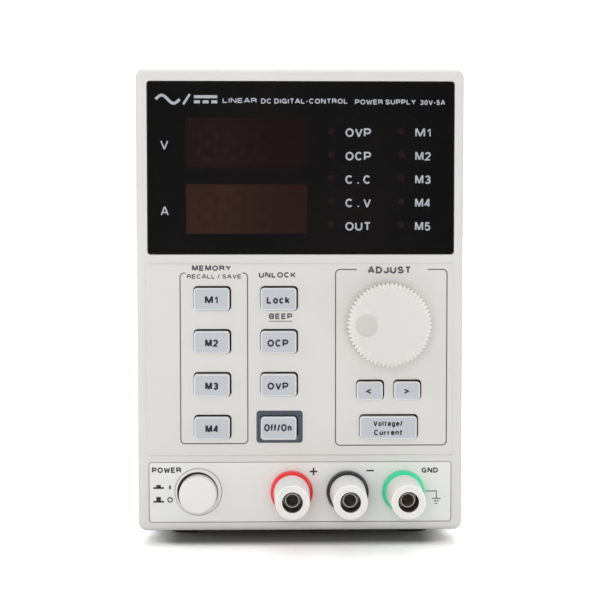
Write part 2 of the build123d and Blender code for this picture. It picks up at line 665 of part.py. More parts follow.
def fan_frame():
    """The fan's square housing with four struts and the motor cup at its inner side."""
    back = REAR_FRONT
    front = back - FAN_THICKNESS
    frame = plate(0, FAN_HEIGHT, (FAN_SIZE, FAN_SIZE), 4, front, back)
    frame -= rod(0, FAN_HEIGHT, FAN_BORE, front - 1, back + 1)
    for side in (-1, 1):
        for rise in (-1, 1):
            pocket = plate(side * 30, FAN_HEIGHT + rise * 30, (26, 26), 3, front + 4, back - 4)
            frame -= pocket - rod(0, FAN_HEIGHT, FAN_BORE + 2, front, back)
    for x, z in fan_screw_places():
        frame -= rod(x, z, 2.1, front - 1, back + 1)
    cup = rod(0, FAN_HEIGHT, FAN_HUB, front, front + 3)
    for turn in range(4):
        strut = upright(0, front + 3, FAN_HEIGHT) * Rot(0, 0, 45 + 90 * turn) * Pos(26, 0) * Rectangle(26, 3)
        cup += extrude(strut, 3)
    return frame + cup - rod(0, FAN_HEIGHT, 1.5 + RUNNING, front + 0.8, front + 4)


def fan_rotor():
    """The turning hub with its pin and seven pitched blades."""
    back = REAR_FRONT - 1.2
    front = REAR_FRONT - FAN_THICKNESS + 3.6
    hub = rod(0, FAN_HEIGHT, FAN_HUB, front, back)
    hub = fillet(back_edges(hub), 1.5)
    hub -= rod(0, FAN_HEIGHT, FAN_HUB - 1.5, front - 1, front + 8)
    hub += rod(0, FAN_HEIGHT, 1.5, front - 2.2, front + 8.1)
    length = back - front - 4
    for blade in range(FAN_BLADES):
        angle = 360 / FAN_BLADES * blade
        spoke = upright(0, (front + back) / 2, FAN_HEIGHT) * Rot(0, 0, angle)
        root = spoke * Pos(FAN_HUB - 1, 0, 0) * Rot(0, 90, 0)
        sheet = Rot(0, 0, 38) * Rectangle(length * 1.15, 1.4)
        hub += extrude(root * sheet, FAN_BORE - 1.5 - FAN_HUB)
    return hub


def fan_guard():
    """The welded wire finger guard: rings on a cross of two wires that end in screw loops."""
    wire = 0.8
    plane_depth = BODY_DEPTH + REAR_REACH - wire
    guard = None
    for radius in range(8, 39, 5):
        hoop = Pos(0, FRONT_Y + plane_depth, FAN_HEIGHT) * Rot(90, 0, 0) * Torus(radius, wire)
        guard = hoop if guard is None else guard + hoop
    spoke_y = FRONT_Y + plane_depth - 2 * wire + 0.3
    corner = FAN_HOLES / 2 * 2**0.5
    for turn in range(4):
        along = (cos(radians(45 + 90 * turn)), sin(radians(45 + 90 * turn)))
        spoke = Plane(origin=(0, spoke_y, FAN_HEIGHT), z_dir=(along[0], 0, along[1]))
        guard += extrude(spoke * Circle(wire), corner - 3.6)
        loop_at = (along[0] * corner, FAN_HEIGHT + along[1] * corner)
        guard += ring(*loop_at, 4.0, 2.2, BODY_DEPTH, BODY_DEPTH + FAN_LOOP)
    return guard


def fan_screws():
    """Four screws through guard, panel and housing."""
    shapes = []
    for x, z in fan_screw_places():
        under = BODY_DEPTH + FAN_LOOP
        head = fillet(back_edges(rod(x, z, 3.4, under, under + 1.9)), 0.8)
        head -= plate(x, z, (4.0, 0.7), 0.2, under + 1.1, under + 2.0)
        shapes.append(head + rod(x, z, 2.0, REAR_FRONT - 8, under))
    return Compound(children=shapes)


# ---------------------------------------------------------------- mains inlet and selector
def mains_inlet():
    """The three-pin mains inlet with its fuse drawer's slot below the socket."""
    x, z = INLET_X, INLET_HEIGHT
    flange = plate(x, z, INLET_FLANGE, 1.2, BODY_DEPTH, BODY_DEPTH + 2.6)
    flange = fillet(back_edges(flange), 0.5)
    body = flange + plate(x, z, INLET_BODY, 0.6, BODY_DEPTH - 22, BODY_DEPTH + 0.1)
    socket_z = z + SOCKET_RISE
    mouth = BODY_DEPTH + 2.6
    half_width, half_height = SOCKET_SIZE[0] / 2, SOCKET_SIZE[1] / 2
    cut = 4.5
    outline = [
        (-half_width, half_height - cut), (-half_width + cut, half_height), (half_width - cut, half_height),
        (half_width, half_height - cut), (half_width, -half_height), (-half_width, -half_height),
    ]
    socket = upright(x, mouth + 1, socket_z) * make_face(Polyline(*outline, close=True))
    body -= extrude(socket, SOCKET_DEPTH + 1)
    for pin_x, pin_z in ((-7.0, -2.0), (0.0, 2.0), (7.0, -2.0)):
        blade = plate(x + pin_x, socket_z + pin_z, (2.0, 4.0), 0.3, mouth - SOCKET_DEPTH - 0.5, mouth - 2.0)
        body += chamfer(back_edges(blade), 0.2)
    drawer_z = z - DRAWER_DROP
    body -= plate(x, drawer_z, (22.6, 7.6), 0.5, BODY_DEPTH - 20.5, mouth + 1)
    for tab_x in (-8.0, 0.0, 8.0):
        tab = (x + tab_x - 2.4, x + tab_x + 2.4)
        body += block(tab, (BODY_DEPTH - INLET_TAB, BODY_DEPTH - 21.5), (z + 4, z + 4.8))
    return body


def fuse_drawer():
    """The fuse drawer: a tray with a fuse bay, a face plate and a finger lip."""
    x, z = INLET_X, INLET_HEIGHT - DRAWER_DROP
    face_depth = BODY_DEPTH + 2.4
    drawer = plate(x, z, (22.0, 7.0), 0.4, BODY_DEPTH - 19.5, face_depth)
    drawer -= plate(x, z + 1.2, (20.0, 6.6), 0.4, BODY_DEPTH - 17.5, BODY_DEPTH + 0.4)
    lip = plate(x, z + 2.2, (12.0, 1.4), 0.3, face_depth - 0.1, face_depth + 1.2)
    return drawer + lip


def selector_housing():
    """The mains-voltage selector's housing with its window."""
    x, z = SELECTOR_X, INLET_HEIGHT
    flange = plate(x, z, (32.0, 15.0), 1.0, BODY_DEPTH, BODY_DEPTH + 0.9)
    body = flange + plate(x, z, (22.0, 12.0), 0.6, BODY_DEPTH - 11, BODY_DEPTH + 0.1)
    return body - plate(x, z, (13.0, 6.4), 0.4, BODY_DEPTH - 8, BODY_DEPTH + 2)


def selector_slider():
    """The recessed slider with a slot for a screwdriver."""
    x, z = SELECTOR_X - SELECTOR_TRAVEL / 2, INLET_HEIGHT
    slider = plate(x, z, (8.0, 5.8), 0.3, BODY_DEPTH - 7.6, BODY_DEPTH - 0.4)
    return slider - plate(x, z, (1.4, 5.0), 0.3, BODY_DEPTH - 2.4, BODY_DEPTH)


# ---------------------------------------------------------------- inside
def transformer_core():
    """The laminated core round the winding, with feet that stand on the floor."""
    low = BASE_TOP + CORE_FOOT
    core = block((-CORE_HALF, CORE_HALF), CORE_DEPTHS, (low, low + CORE_HEIGHT))
    through = (CORE_DEPTHS[0] - 1, CORE_DEPTHS[1] + 1)
    for side in (-1, 1):
        core -= block(sorted((side * 14, side * 28)), through, (low + 14, low + 56))
        for depth in (CORE_DEPTHS[0] - 11, CORE_DEPTHS[1] - 1):
            core += block(sorted((side * 24, side * 40)), (depth, depth + 12), (BASE_TOP, low + 0.1))
    for x, depth in core_screw_places():
        core -= post(x, depth, SCREW_RADIUS + 0.05, BASE_TOP - 1, low + 0.2)
    return core


def core_screw_places():
    """X and depth of the transformer's four screws."""
    return [(x, depth) for x in (-34.0, 34.0) for depth in (CORE_DEPTHS[0] - 6, CORE_DEPTHS[1] + 6)]


def board_screw_places():
    """X and depth of the main board's four screws."""
    return [(x, depth) for x in (-41.0, 41.0) for depth in (67.0, 193.0)]


def inner_screws():
    """The screws of the transformer's feet and the main board."""
    floor = [(x, FRONT_Y + depth, BASE_TOP + CORE_FOOT + 0.1) for x, depth in core_screw_places()]
    shelf = [(x, FRONT_Y + depth, MAIN_BOARD_TOP) for x, depth in board_screw_places()]
    return Compound(children=[turned_screw(screw(0, 0, 0, 5.0), place, (0, 0, 1)) for place in floor + shelf])


def transformer_winding():
    """The bobbin and winding on the core's centre leg."""
    low = BASE_TOP + CORE_FOOT
    depths = (CORE_DEPTHS[0] - 12, CORE_DEPTHS[1] + 12)
    winding = block((-27.8, 27.8), depths, (low + 14.2, low + 55.8))
    winding = fillet(winding.edges().filter_by(Axis.Z), 5)
    return winding - block((-14.2, 14.2), (CORE_DEPTHS[0], CORE_DEPTHS[1]), (low + 10, low + 60))


def board_shelf():
    """The folded shelf that bridges the transformer, with pressed standoffs for the main board."""
    shelf = block((-49.6, 49.6), SHELF_DEPTHS, (SHELF_LOW, SHELF_LOW + SHEET))
    for side in (-1, 1):
        leg = sorted((side * 49.6, side * (49.6 - SHEET)))
        for depths in ((SHELF_DEPTHS[0], 84.0), (SHELF_DEPTHS[1] - 24.0, SHELF_DEPTHS[1])):
            shelf += block(leg, depths, (BASE_TOP, SHELF_LOW + 0.1))
    for x, depth in board_screw_places():
        shelf += post(x, depth, 3.0, SHELF_LOW + SHEET - 0.1, MAIN_BOARD_LOW)
        shelf -= post(x, depth, SCREW_RADIUS + 0.02, SHELF_LOW - 1, MAIN_BOARD_LOW + 1)
    return shelf


def main_board():
    """The regulator's circuit board."""
    board = block((-46, 46), (62, 198), (MAIN_BOARD_LOW, MAIN_BOARD_TOP))
    for x, depth in board_screw_places():
        board -= post(x, depth, SCREW_RADIUS + 0.05, MAIN_BOARD_LOW - 1, MAIN_BOARD_TOP + 1)
    return board


def heat_sink():
    """A finned aluminium extrusion in the fan's draught."""
    depths = (118.0, 194.0)
    foot = MAIN_BOARD_TOP
    sink = block((-30, 30), depths, (foot, foot + 6))
    for fin in range(9):
        middle = -28.5 + fin * 57 / 8
        sink += block((middle - 1.1, middle + 1.1), depths, (foot + 5.9, foot + 42))
    return sink


def power_transistors():
    """Four flat power packages against the heat sink's outer fins."""
    shapes = []
    for side in (-1, 1):
        for depth in (132.0, 164.0):
            heights = (MAIN_BOARD_TOP + 4, MAIN_BOARD_TOP + 24)
            body = block(sorted((side * 30.0, side * 35.0)), (depth, depth + 16), heights)
            for leg in (-5, 0, 5):
                middle = depth + 8 + leg
                body += block(sorted((side * 32.0, side * 33.0)), (middle - 0.6, middle + 0.6),
                              (MAIN_BOARD_TOP, MAIN_BOARD_TOP + 4.1))
            shapes.append(body)
    return Compound(children=shapes)


def filter_capacitors():
    """Two upright smoothing capacitors."""
    shapes = []
    for x in (-20.0, 20.0):
        can = post(x, 92.0, 12.5, MAIN_BOARD_TOP, MAIN_BOARD_TOP + 42)
        shapes.append(fillet(can.edges().filter_by(GeomType.CIRCLE), 1.2))
    return Compound(children=shapes)


def internal_leads():
    """Insulated leads: from the main board to the three posts, and from the mains inlet to the switch."""
    wires = []
    for x in POST_X.values():
        rise = [
            (x, STUD_BACK, POST_HEIGHT), (x, 32, POST_HEIGHT), (x, 44, POST_HEIGHT + 20),
            (x, 44, MAIN_BOARD_TOP - 6), (x, 52, MAIN_BOARD_TOP + 12), (x, 63, MAIN_BOARD_TOP + 11),
            (x, 70, MAIN_BOARD_TOP + 5), (x, 70, MAIN_BOARD_TOP),
        ]
        wires.append(wire_run(rise, 1.2))
    for lift, tab_x, side in ((0.0, 8.0, 3.5), (3.2, 0.0, -3.5)):
        z = BASE_TOP + 3.0 + lift
        run = [
            (INLET_X + tab_x, BODY_DEPTH - INLET_TAB, INLET_HEIGHT + 4.4),
            (INLET_X + tab_x, 196, INLET_HEIGHT + 4.4), (INLET_X + tab_x + 4, 188, INLET_HEIGHT - 8),
            (45.2, 172, z + 4), (45.2, 120, z), (45.2, 78, z),
            (28, 64, z + 1), (-6, 63, z + 2), (-28, 70, z + 3), (POWER_X + side, 67, POWER_HEIGHT),
            (POWER_X + side, SWITCH_TAIL, POWER_HEIGHT),
        ]
        wires.append(wire_run(run, 1.2))
    return Compound(children=wires)


def ribbon_cable():
    """The flat cable between the front board and the main board."""
    x = -26.0
    high = MAIN_BOARD_TOP + 35
    points = [
        (x, BOARD_FRONT + BOARD, high), (x, 26, high), (x, 44, high - 8), (x, 60, high - 17),
        (x, 68, MAIN_BOARD_TOP + 8), (x, 68, MAIN_BOARD_TOP),
    ]
    path = FilletPolyline(*[Vector(px, FRONT_Y + depth, z) for px, depth, z in points], radius=6)
    start = Plane(origin=path @ 0, x_dir=(1, 0, 0), z_dir=path % 0)
    return sweep(start * Rectangle(20, 1.0), path=path)


# ---------------------------------------------------------------- assembly
def assemble():
    """Builds every piece under its node name."""
    keep("front_bezel", front_bezel())
    keep("display_lens", display_lens())
    keep("output_panel", output_panel())
    for name, z in DISPLAY_HEIGHTS.items():
        keep(name, display_module(z))
    keep("indicator_leds", indicator_leds())
    keep("front_board", front_board())
    keep("key_switches", Compound(children=[key_switch(x, z) for x, z, _ in key_table().values()]))
    for name, (x, z, size) in key_table().items():
        keep(name, key_cap(x, z, size))
    keep("encoder_body", encoder_body())
    keep("encoder_shaft", encoder_shaft())
    keep("encoder_knob", encoder_knob())
    keep("power_button", power_button())
    keep("power_switch", power_switch())
    for colour, x in POST_X.items():
        keep(f"{colour}_post_flange", post_flange(x))
        keep(f"{colour}_post_cap", post_cap(x))
        keep(f"{colour}_post_insert", post_insert(x))
    keep("post_studs", Compound(children=[post_stud(x) for x in POST_X.values()]))
    keep("post_nuts", Compound(children=[piece for x in POST_X.values() for piece in post_nut(x)]))
    keep("chassis_base", chassis_base())
    keep("rear_panel", rear_panel())
    keep("top_cover", top_cover())
    keep("feet", feet())
    keep("foot_screws", foot_screws())
    keep("case_screws", case_screws())
    keep("frame_screws", frame_screws())
    keep("fan_frame", fan_frame())
    keep("fan_rotor", fan_rotor())
    keep("fan_guard", fan_guard())
    keep("fan_screws", fan_screws())
    keep("mains_inlet", mains_inlet())
    keep("fuse_drawer", fuse_drawer())
    keep("selector_housing", selector_housing())
    keep("selector_slider", selector_slider())
    keep("transformer_core", transformer_core())
    keep("transformer_winding", transformer_winding())
    keep("board_shelf", board_shelf())
    keep("main_board", main_board())
    keep("heat_sink", heat_sink())
    keep("power_transistors", power_transistors())
    keep("filter_capacitors", filter_capacitors())
    keep("inner_screws", inner_screws())
    keep("internal_leads", internal_leads())
    keep("ribbon_cable", ribbon_cable())


assemble()
os.makedirs("parts", exist_ok=True)
for node, solid in PARTS.items():
    export_step(solid, f"parts/{node}.step")
print(len(PARTS), "pieces,", round(OVERALL_DEPTH, 1), "mm deep overall")
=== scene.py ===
"""Looks for the bench power supply: materials, printing, display details, light and camera.

Everything is in metres in the CAD frame: X to the right, Y towards the rear, Z up from the table. Flat
artwork is laid out in millimetres, X from the middle of the front and Z up from the bezel's lower edge.
"""

import json
import math

import bmesh
import bpy
from mathutils import Euler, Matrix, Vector
from mathutils.geometry import delaunay_2d_cdt


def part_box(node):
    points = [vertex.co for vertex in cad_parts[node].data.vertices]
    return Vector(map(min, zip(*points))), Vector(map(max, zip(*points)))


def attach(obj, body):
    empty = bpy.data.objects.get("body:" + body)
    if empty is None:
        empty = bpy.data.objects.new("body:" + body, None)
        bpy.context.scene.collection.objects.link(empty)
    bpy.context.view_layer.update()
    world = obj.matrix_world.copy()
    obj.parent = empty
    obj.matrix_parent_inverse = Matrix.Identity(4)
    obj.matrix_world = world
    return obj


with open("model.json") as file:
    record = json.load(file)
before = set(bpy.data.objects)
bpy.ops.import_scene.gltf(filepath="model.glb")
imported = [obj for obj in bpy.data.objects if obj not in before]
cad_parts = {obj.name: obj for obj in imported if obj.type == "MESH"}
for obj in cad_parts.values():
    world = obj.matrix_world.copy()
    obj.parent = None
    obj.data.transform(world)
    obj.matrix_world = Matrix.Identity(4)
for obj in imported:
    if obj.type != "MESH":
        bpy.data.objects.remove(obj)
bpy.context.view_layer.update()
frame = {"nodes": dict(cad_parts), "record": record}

MM = 0.001


# ---------------------------------------------------------------- places taken from the frame
def low(node):
    """Lowest corner of a CAD node."""
    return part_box(node)[0]


def high(node):
    """Highest corner of a CAD node."""
    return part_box(node)[1]


def middle(node):
    """Centre of a CAD node's box."""
    return (low(node) + high(node)) / 2


FIELD_RISE = 0.6 * MM  # the key field stands this far in front of the bezel's flat face
BEZEL_FOOT = low("front_bezel").z
FIELD_Y = low("front_bezel").y
FACE_Y = FIELD_Y + FIELD_RISE
LENS_Y = low("display_lens").y
PANEL_Y = FACE_Y
INK_RISE = 0.025 * MM  # thickness of the printing and of the display filters
DIGIT_RISE = 0.004 * MM  # thickness of the unlit digits on their filters

POST_PITCH = middle("black_post_cap").x - middle("red_post_cap").x
CAP_FRONT = low("red_post_cap").y
MOUTH_RADIUS = 3.45 * MM
STUD_FRONT = low("post_studs").y
SOCKET_RADIUS = 2.1 * MM
KNOB_AXIS = middle("encoder_shaft")
KNOB_FRONT = low("encoder_knob").y
DIMPLE_OFFSET = 7.6 * MM  # from the knob's axis to the left
DIMPLE_RADIUS = 4.0 * MM
FILM_FADE = (-26 * MM, -8 * MM)  # the display filters darken to the right over this span of X
SQUARE_ON = -0.995  # how far a face turns to the front, as Shader.facing gives it, to count as square to it

# the knob's teeth, paler as a painted highlight
KNOB_LIT_EDGE = (0.80, 0.78, 0.745)
BUTTON_WHITE = (0.84, 0.82, 0.79)
PANEL_WHITE = (0.79, 0.79, 0.765)
# the keys' turned edges, paler as a painted highlight
KEY_LIT_EDGE = (0.79, 0.80, 0.81)
CAP_SIDE = (0.93, 0.915, 0.895)
NICKEL = (0.93, 0.915, 0.885)


# ---------------------------------------------------------------- shader helpers
class Shader:
    """A node material with a Principled shader, built by short calls."""

    def __init__(self, name, color, roughness, **sockets):
        self.material = bpy.data.materials.new(name)
        self.material.use_nodes = True
        self.tree = self.material.node_tree
        self.shader = self.tree.nodes["Principled BSDF"]
        self.coordinates = None
        self.shader.inputs["Base Color"].default_value = (*color, 1)
        self.shader.inputs["Roughness"].default_value = roughness
        for socket, value in sockets.items():
            self.shader.inputs[socket.replace("_", " ")].default_value = value

    def add(self, kind, **settings):
        """A new node with its own settings."""
        node = self.tree.nodes.new(kind)
        for key, value in settings.items():
            setattr(node, key, value)
        return node

    def link(self, start, end):
        """A link between two sockets."""
        self.tree.links.new(start, end)

    def place(self, stretch=(1, 1, 1)):
        """Object coordinates, stretched along the axes."""
        if self.coordinates is None:
            self.coordinates = self.add("ShaderNodeTexCoord").outputs["Object"]
        mapping = self.add("ShaderNodeMapping")
        mapping.inputs["Scale"].default_value = stretch
        self.link(self.coordinates, mapping.inputs["Vector"])
        return mapping.outputs["Vector"]

    def noise(self, scale, detail=3.0, stretch=(1, 1, 1), roughness=0.55):
        """Noise from 0 to 1. The scale is in features to the metre."""
        node = self.add("ShaderNodeTexNoise")
        node.inputs["Scale"].default_value = scale
        node.inputs["Detail"].default_value = detail
        node.inputs["Roughness"].default_value = roughness
        self.link(self.place(stretch), node.inputs["Vector"])
        return node.outputs["Fac"]

    def ramp(self, value, *stops):
        """Colours along a value, each stop a (position, colour) pair."""
        node = self.add("ShaderNodeValToRGB")
        elements = node.color_ramp.elements
        while len(elements) < len(stops):
            elements.new(0.5)
        for element, (position, color) in zip(elements, stops):
            element.position = position
            element.color = (*color, 1)
        self.link(value, node.inputs["Fac"])
        return node.outputs["Color"]

    def span(self, value, first, last):
        """The value's 0 to 1 range moved to first to last."""
        node = self.add("ShaderNodeMapRange")
        node.inputs["To Min"].default_value = first
        node.inputs["To Max"].default_value = last
        self.link(value, node.inputs["Value"])
        return node.outputs["Result"]

    def bump(self, height, distance, strength=1.0):
        """A bump by that height, on top of any earlier one."""
        node = self.add("ShaderNodeBump")
        node.inputs["Distance"].default_value = distance
        node.inputs["Strength"].default_value = strength
        self.link(height, node.inputs["Height"])
        earlier = self.shader.inputs["Normal"].links
        if earlier:
            self.link(earlier[0].from_socket, node.inputs["Normal"])
        self.link(node.outputs["Normal"], self.shader.inputs["Normal"])

    def axis(self, letter):
        """One of the object coordinates, in metres."""
        parts = self.add("ShaderNodeSeparateXYZ")
        self.link(self.place(), parts.inputs["Vector"])
        return parts.outputs[letter]

    def facing(self, letter):
        """How far the surface faces along one axis, from -1 to 1."""
        parts = self.add("ShaderNodeSeparateXYZ")
        self.link(self.add("ShaderNodeNewGeometry").outputs["Normal"], parts.inputs["Vector"])
        return parts.outputs[letter]

    def math(self, operation, first, *others):
        """A Math node on that value and others, each a socket or a number."""
        node = self.add("ShaderNodeMath", operation=operation)
        self.link(first, node.inputs[0])
        for socket, value in zip(list(node.inputs)[1:], others):
            if isinstance(value, float):
                socket.default_value = value
            else:
                self.link(value, socket)
        return node.outputs["Value"]

    def beyond(self, value, start, end):
        """0 where the value is under start, rising to 1 at end."""
        node = self.add("ShaderNodeMapRange")
        node.inputs["From Min"].default_value = start
        node.inputs["From Max"].default_value = end
        self.link(value, node.inputs["Value"])
        return node.outputs["Result"]

    def front(self, turned=-0.9):
        """1 on faces square to the front, falling to 0 on those whose facing along Y has risen to turned."""
        return self.beyond(self.facing("Y"), turned, SQUARE_ON)

    def hypotenuse(self, across, up):
        """The distance from an axis, given both offsets from it."""
        squares = [self.math("MULTIPLY", offset, offset) for offset in (across, up)]
        return self.math("SQRT", self.math("ADD", *squares))

    def recess(self, start, end, distance, radius, edge):
        """1 behind the Y values from start to end and within the radius, whose edge is soft."""
        deep = self.beyond(self.axis("Y"), start, end)
        outside = self.beyond(distance, radius, radius + edge)
        return self.math("SUBTRACT", deep, outside)

    def tint(self, mask, color):
        """Multiplies the base colour by that colour where the mask is 1."""
        product = self.add("ShaderNodeVectorMath", operation="MULTIPLY")
        self.link(self.shader.inputs["Base Color"].links[0].from_socket, product.inputs[0])
        self.link(self.ramp(mask, (0, (1, 1, 1)), (1, color)), product.inputs[1])
        self.color(product.outputs["Vector"])

    def color(self, socket):
        """Feeds the base colour."""
        self.link(socket, self.shader.inputs["Base Color"])

    def rough(self, socket):
        """Feeds the roughness."""
        self.link(socket, self.shader.inputs["Roughness"])


def shade(color, factor):
    """A colour made lighter or darker."""
    return tuple(min(1.0, channel * factor) for channel in color)


# ---------------------------------------------------------------- materials
def moulded_finish(s, color, roughness, grain, depth, variation=0.025):
    """Fine spark-eroded grain, faint flow clouds and uneven polish."""
    clouds = s.noise(22, 4)
    s.color(s.ramp(clouds, (0.3, shade(color, 1 - variation)), (0.7, shade(color, 1 + variation))))
    s.rough(s.span(s.noise(60, 3), roughness - 0.05, roughness + 0.06))
    s.bump(s.noise(grain, 3), depth)
    s.bump(s.noise(35, 2), depth * 1.5, 0.25)


def moulded_plastic(name, color, roughness=0.42, grain=1800, variation=0.025, **sockets):
    """Injection-moulded plastic."""
    s = Shader(name, color, roughness, **sockets)
    moulded_finish(s, color, roughness, grain, 0.012 * MM, variation)
    return s.material


def ring_plastic(name, color, roughness, variation):
    """The glossy coloured plastic of a binding post's base ring."""
    return moulded_plastic(name, color, roughness, variation=variation, Coat_Weight=0.3)


def hole_shade_plastic(name, color):
    """Moulded plastic painted dark deep down the power button's hole: painted shade on the hole's walls and
    on the button's sides.
    """
    s = Shader(name, color, 0.42)
    moulded_finish(s, color, 0.42, grain=1800, depth=0.012 * MM)
    # painted shade: everything more than 0.2 to 1.4 mm behind the panel's face is darkened
    s.tint(s.beyond(s.axis("Y"), PANEL_Y + 0.2 * MM, PANEL_Y + 1.4 * MM), (0.05, 0.05, 0.05))
    return s.material


def key_plastic():
    """The keys' satin plastic: a painted highlight keeps their turned edges paler than their fronts, and
    painted shade darkens them deep down their sides.
    """
    s = Shader("key_plastic", KEY_LIT_EDGE, 0.36)
    moulded_finish(s, KEY_LIT_EDGE, 0.36, grain=2200, depth=0.008 * MM)
    # painted highlight: only the faces square to the front get the keys' blue-grey, the turned edges stay
    # paler
    s.tint(s.front(), (0.66, 0.68, 0.715))
    # painted shade deep down the keys' sides, in the gaps round them
    s.tint(s.beyond(s.axis("Y"), FACE_Y + 0.2 * MM, FACE_Y + 1.2 * MM), (0.02, 0.02, 0.02))
    return s.material


def post_axis_distance(s):
    """The distance from the axis of the nearest binding post."""
    centre = middle("red_post_insert")
    across = s.math("SUBTRACT", s.axis("X"), centre.x)
    nearest = s.math("WRAP", across, POST_PITCH / 2, -POST_PITCH / 2)
    up = s.math("SUBTRACT", s.axis("Z"), centre.z)
    return s.hypotenuse(nearest, up)


def knob_plastic():
    """The knob's off-white plastic: a painted highlight keeps its teeth paler than its front, and painted
    shade greys the finger dimple.
    """
    s = Shader("knob_plastic", KNOB_LIT_EDGE, 0.4)
    moulded_finish(s, KNOB_LIT_EDGE, 0.4, grain=2200, depth=0.008 * MM)
    # painted highlight: the front face is darker than the teeth
    s.tint(s.front(-0.93), (0.87, 0.87, 0.875))
    # painted shade in the finger dimple
    across = s.math("SUBTRACT", s.axis("X"), KNOB_AXIS.x - DIMPLE_OFFSET)
    up = s.math("SUBTRACT", s.axis("Z"), KNOB_AXIS.z)
    distance = s.hypotenuse(across, up)
    dimple = s.recess(KNOB_FRONT + 0.3 * MM, KNOB_FRONT + 0.8 * MM, distance, DIMPLE_RADIUS, 0.1 * MM)
    s.tint(dimple, (0.88, 0.88, 0.875))
    return s.material


def cap_plastic():
    """The clamping caps' off-white plastic, darker on faces square to the front, and dark brown down the
    mouth as painted shade.
    """
    s = Shader("cap_plastic", CAP_SIDE, 0.34)
    moulded_finish(s, CAP_SIDE, 0.34, grain=2200, depth=0.006 * MM)
    s.tint(s.front(), (0.85, 0.84, 0.825))
    distance = post_axis_distance(s)
    # painted shade down the mouth, tinted brown like the brass insert there
    mouth = s.recess(CAP_FRONT + 0.3 * MM, CAP_FRONT + 1.6 * MM, distance, MOUTH_RADIUS, 0.2 * MM)
    s.tint(mouth, (0.13, 0.08, 0.055))
    return s.material


def smoked_acrylic():
    """The window: polished black acrylic with the faintest waviness and fine streaks in its gloss."""
    s = Shader("smoked_acrylic", (0.0065, 0.0062, 0.0066), 0.07, Coat_Weight=0.6, Coat_Roughness=0.03)
    s.color(s.ramp(s.noise(14, 4), (0.35, (0.0045, 0.0045, 0.005)), (0.75, (0.0095, 0.0085, 0.008))))
    s.rough(s.span(s.noise(900, 2, stretch=(0.05, 1, 1)), 0.05, 0.1))
    s.bump(s.noise(9, 2), 0.03 * MM, 0.15)
    return s.material


def filter_film(name, dark, light, tilt):
    """A tinted display filter in the window, darker towards its right end."""
    s = Shader(name, dark, 0.12, Coat_Weight=0.5, Coat_Roughness=0.04)
    cloud = s.noise(11, 3, stretch=tilt)
    s.color(s.ramp(cloud, (0.3, dark), (0.72, light)))
    s.tint(s.beyond(s.axis("X"), *FILM_FADE), (0.68, 0.66, 0.72))
    s.rough(s.span(s.noise(500, 2), 0.1, 0.16))
    return s.material


def ink(name, color):
    """Screen-printed ink: flat, slightly uneven in density and gloss, faintly pitted."""
    s = Shader(name, color, 0.5)
    s.color(s.ramp(s.noise(900, 3), (0.3, shade(color, 0.88)), (0.7, shade(color, 1.12))))
    s.rough(s.span(s.noise(1500, 2), 0.42, 0.6))
    s.bump(s.noise(2600, 2), 0.004 * MM)
    return s.material


def plated_finish(s, color, roughness, lines=(1, 1, 1)):
    """Fine tool lines and a cloudy tarnish."""
    s.color(s.ramp(s.noise(120, 4), (0.3, shade(color, 0.82)), (0.7, color)))
    s.rough(s.span(s.noise(260, 3), roughness - 0.07, roughness + 0.1))
    s.bump(s.noise(2200, 2, stretch=lines), 0.006 * MM, 0.5)


def plated_metal(name, color, roughness=0.22, lines=(1, 1, 1), **sockets):
    """Plated or turned metal."""
    s = Shader(name, color, roughness, Metallic=1.0, **sockets)
    plated_finish(s, color, roughness, lines)
    return s.material


def plated_stud():
    """The studs' nickel plating, with painted shade inside the plug sockets."""
    s = Shader("plated_brass", NICKEL, 0.3, Metallic=0.25)
    plated_finish(s, NICKEL, 0.3)
    distance = post_axis_distance(s)
    # painted shade inside the plug sockets
    bore = s.recess(STUD_FRONT + 0.2 * MM, STUD_FRONT + 0.5 * MM, distance, SOCKET_RADIUS, 0.1 * MM)
    s.tint(bore, (0.5, 0.42, 0.36))
    return s.material


def powder_coat(name, color):
    """Textured powder coat on sheet steel: orange peel, fine speckle and a satin sheen."""
    s = Shader(name, color, 0.45, Coat_Weight=0.15, Coat_Roughness=0.35)
    s.color(s.ramp(s.noise(700, 4), (0.32, shade(color, 0.93)), (0.68, shade(color, 1.04))))
    s.rough(s.span(s.noise(300, 3), 0.38, 0.55))
    s.bump(s.noise(520, 3), 0.05 * MM, 0.5)
    s.bump(s.noise(2400, 2), 0.01 * MM, 0.6)
    return s.material


def moulded_rubber(name, color):
    """Matt rubber with a dusty bloom."""
    s = Shader(name, color, 0.75)
    s.color(s.ramp(s.noise(180, 5), (0.35, shade(color, 0.7)), (0.75, shade(color, 2.0))))
    s.rough(s.span(s.noise(90, 3), 0.65, 0.85))
    s.bump(s.noise(1600, 3), 0.02 * MM)
    return s.material


def solder_mask():
    """A green circuit board: brighter tracks in a brick pattern under the mask."""
    s = Shader("solder_mask", (0.01, 0.12, 0.05), 0.3, Coat_Weight=0.4, Coat_Roughness=0.15)
    tracks = s.add("ShaderNodeTexBrick", offset=0.37, squash=0.6, squash_frequency=3)
    tracks.inputs["Scale"].default_value = 160
    tracks.inputs["Mortar Size"].default_value = 0.035
    tracks.inputs["Color1"].default_value = (0.012, 0.11, 0.045, 1)
    tracks.inputs["Color2"].default_value = (0.01, 0.09, 0.035, 1)
    tracks.inputs["Mortar"].default_value = (0.03, 0.26, 0.1, 1)
    s.link(s.place(), tracks.inputs["Vector"])
    s.color(tracks.outputs["Color"])
    s.bump(tracks.outputs["Fac"], 0.035 * MM, 0.7)
    return s.material


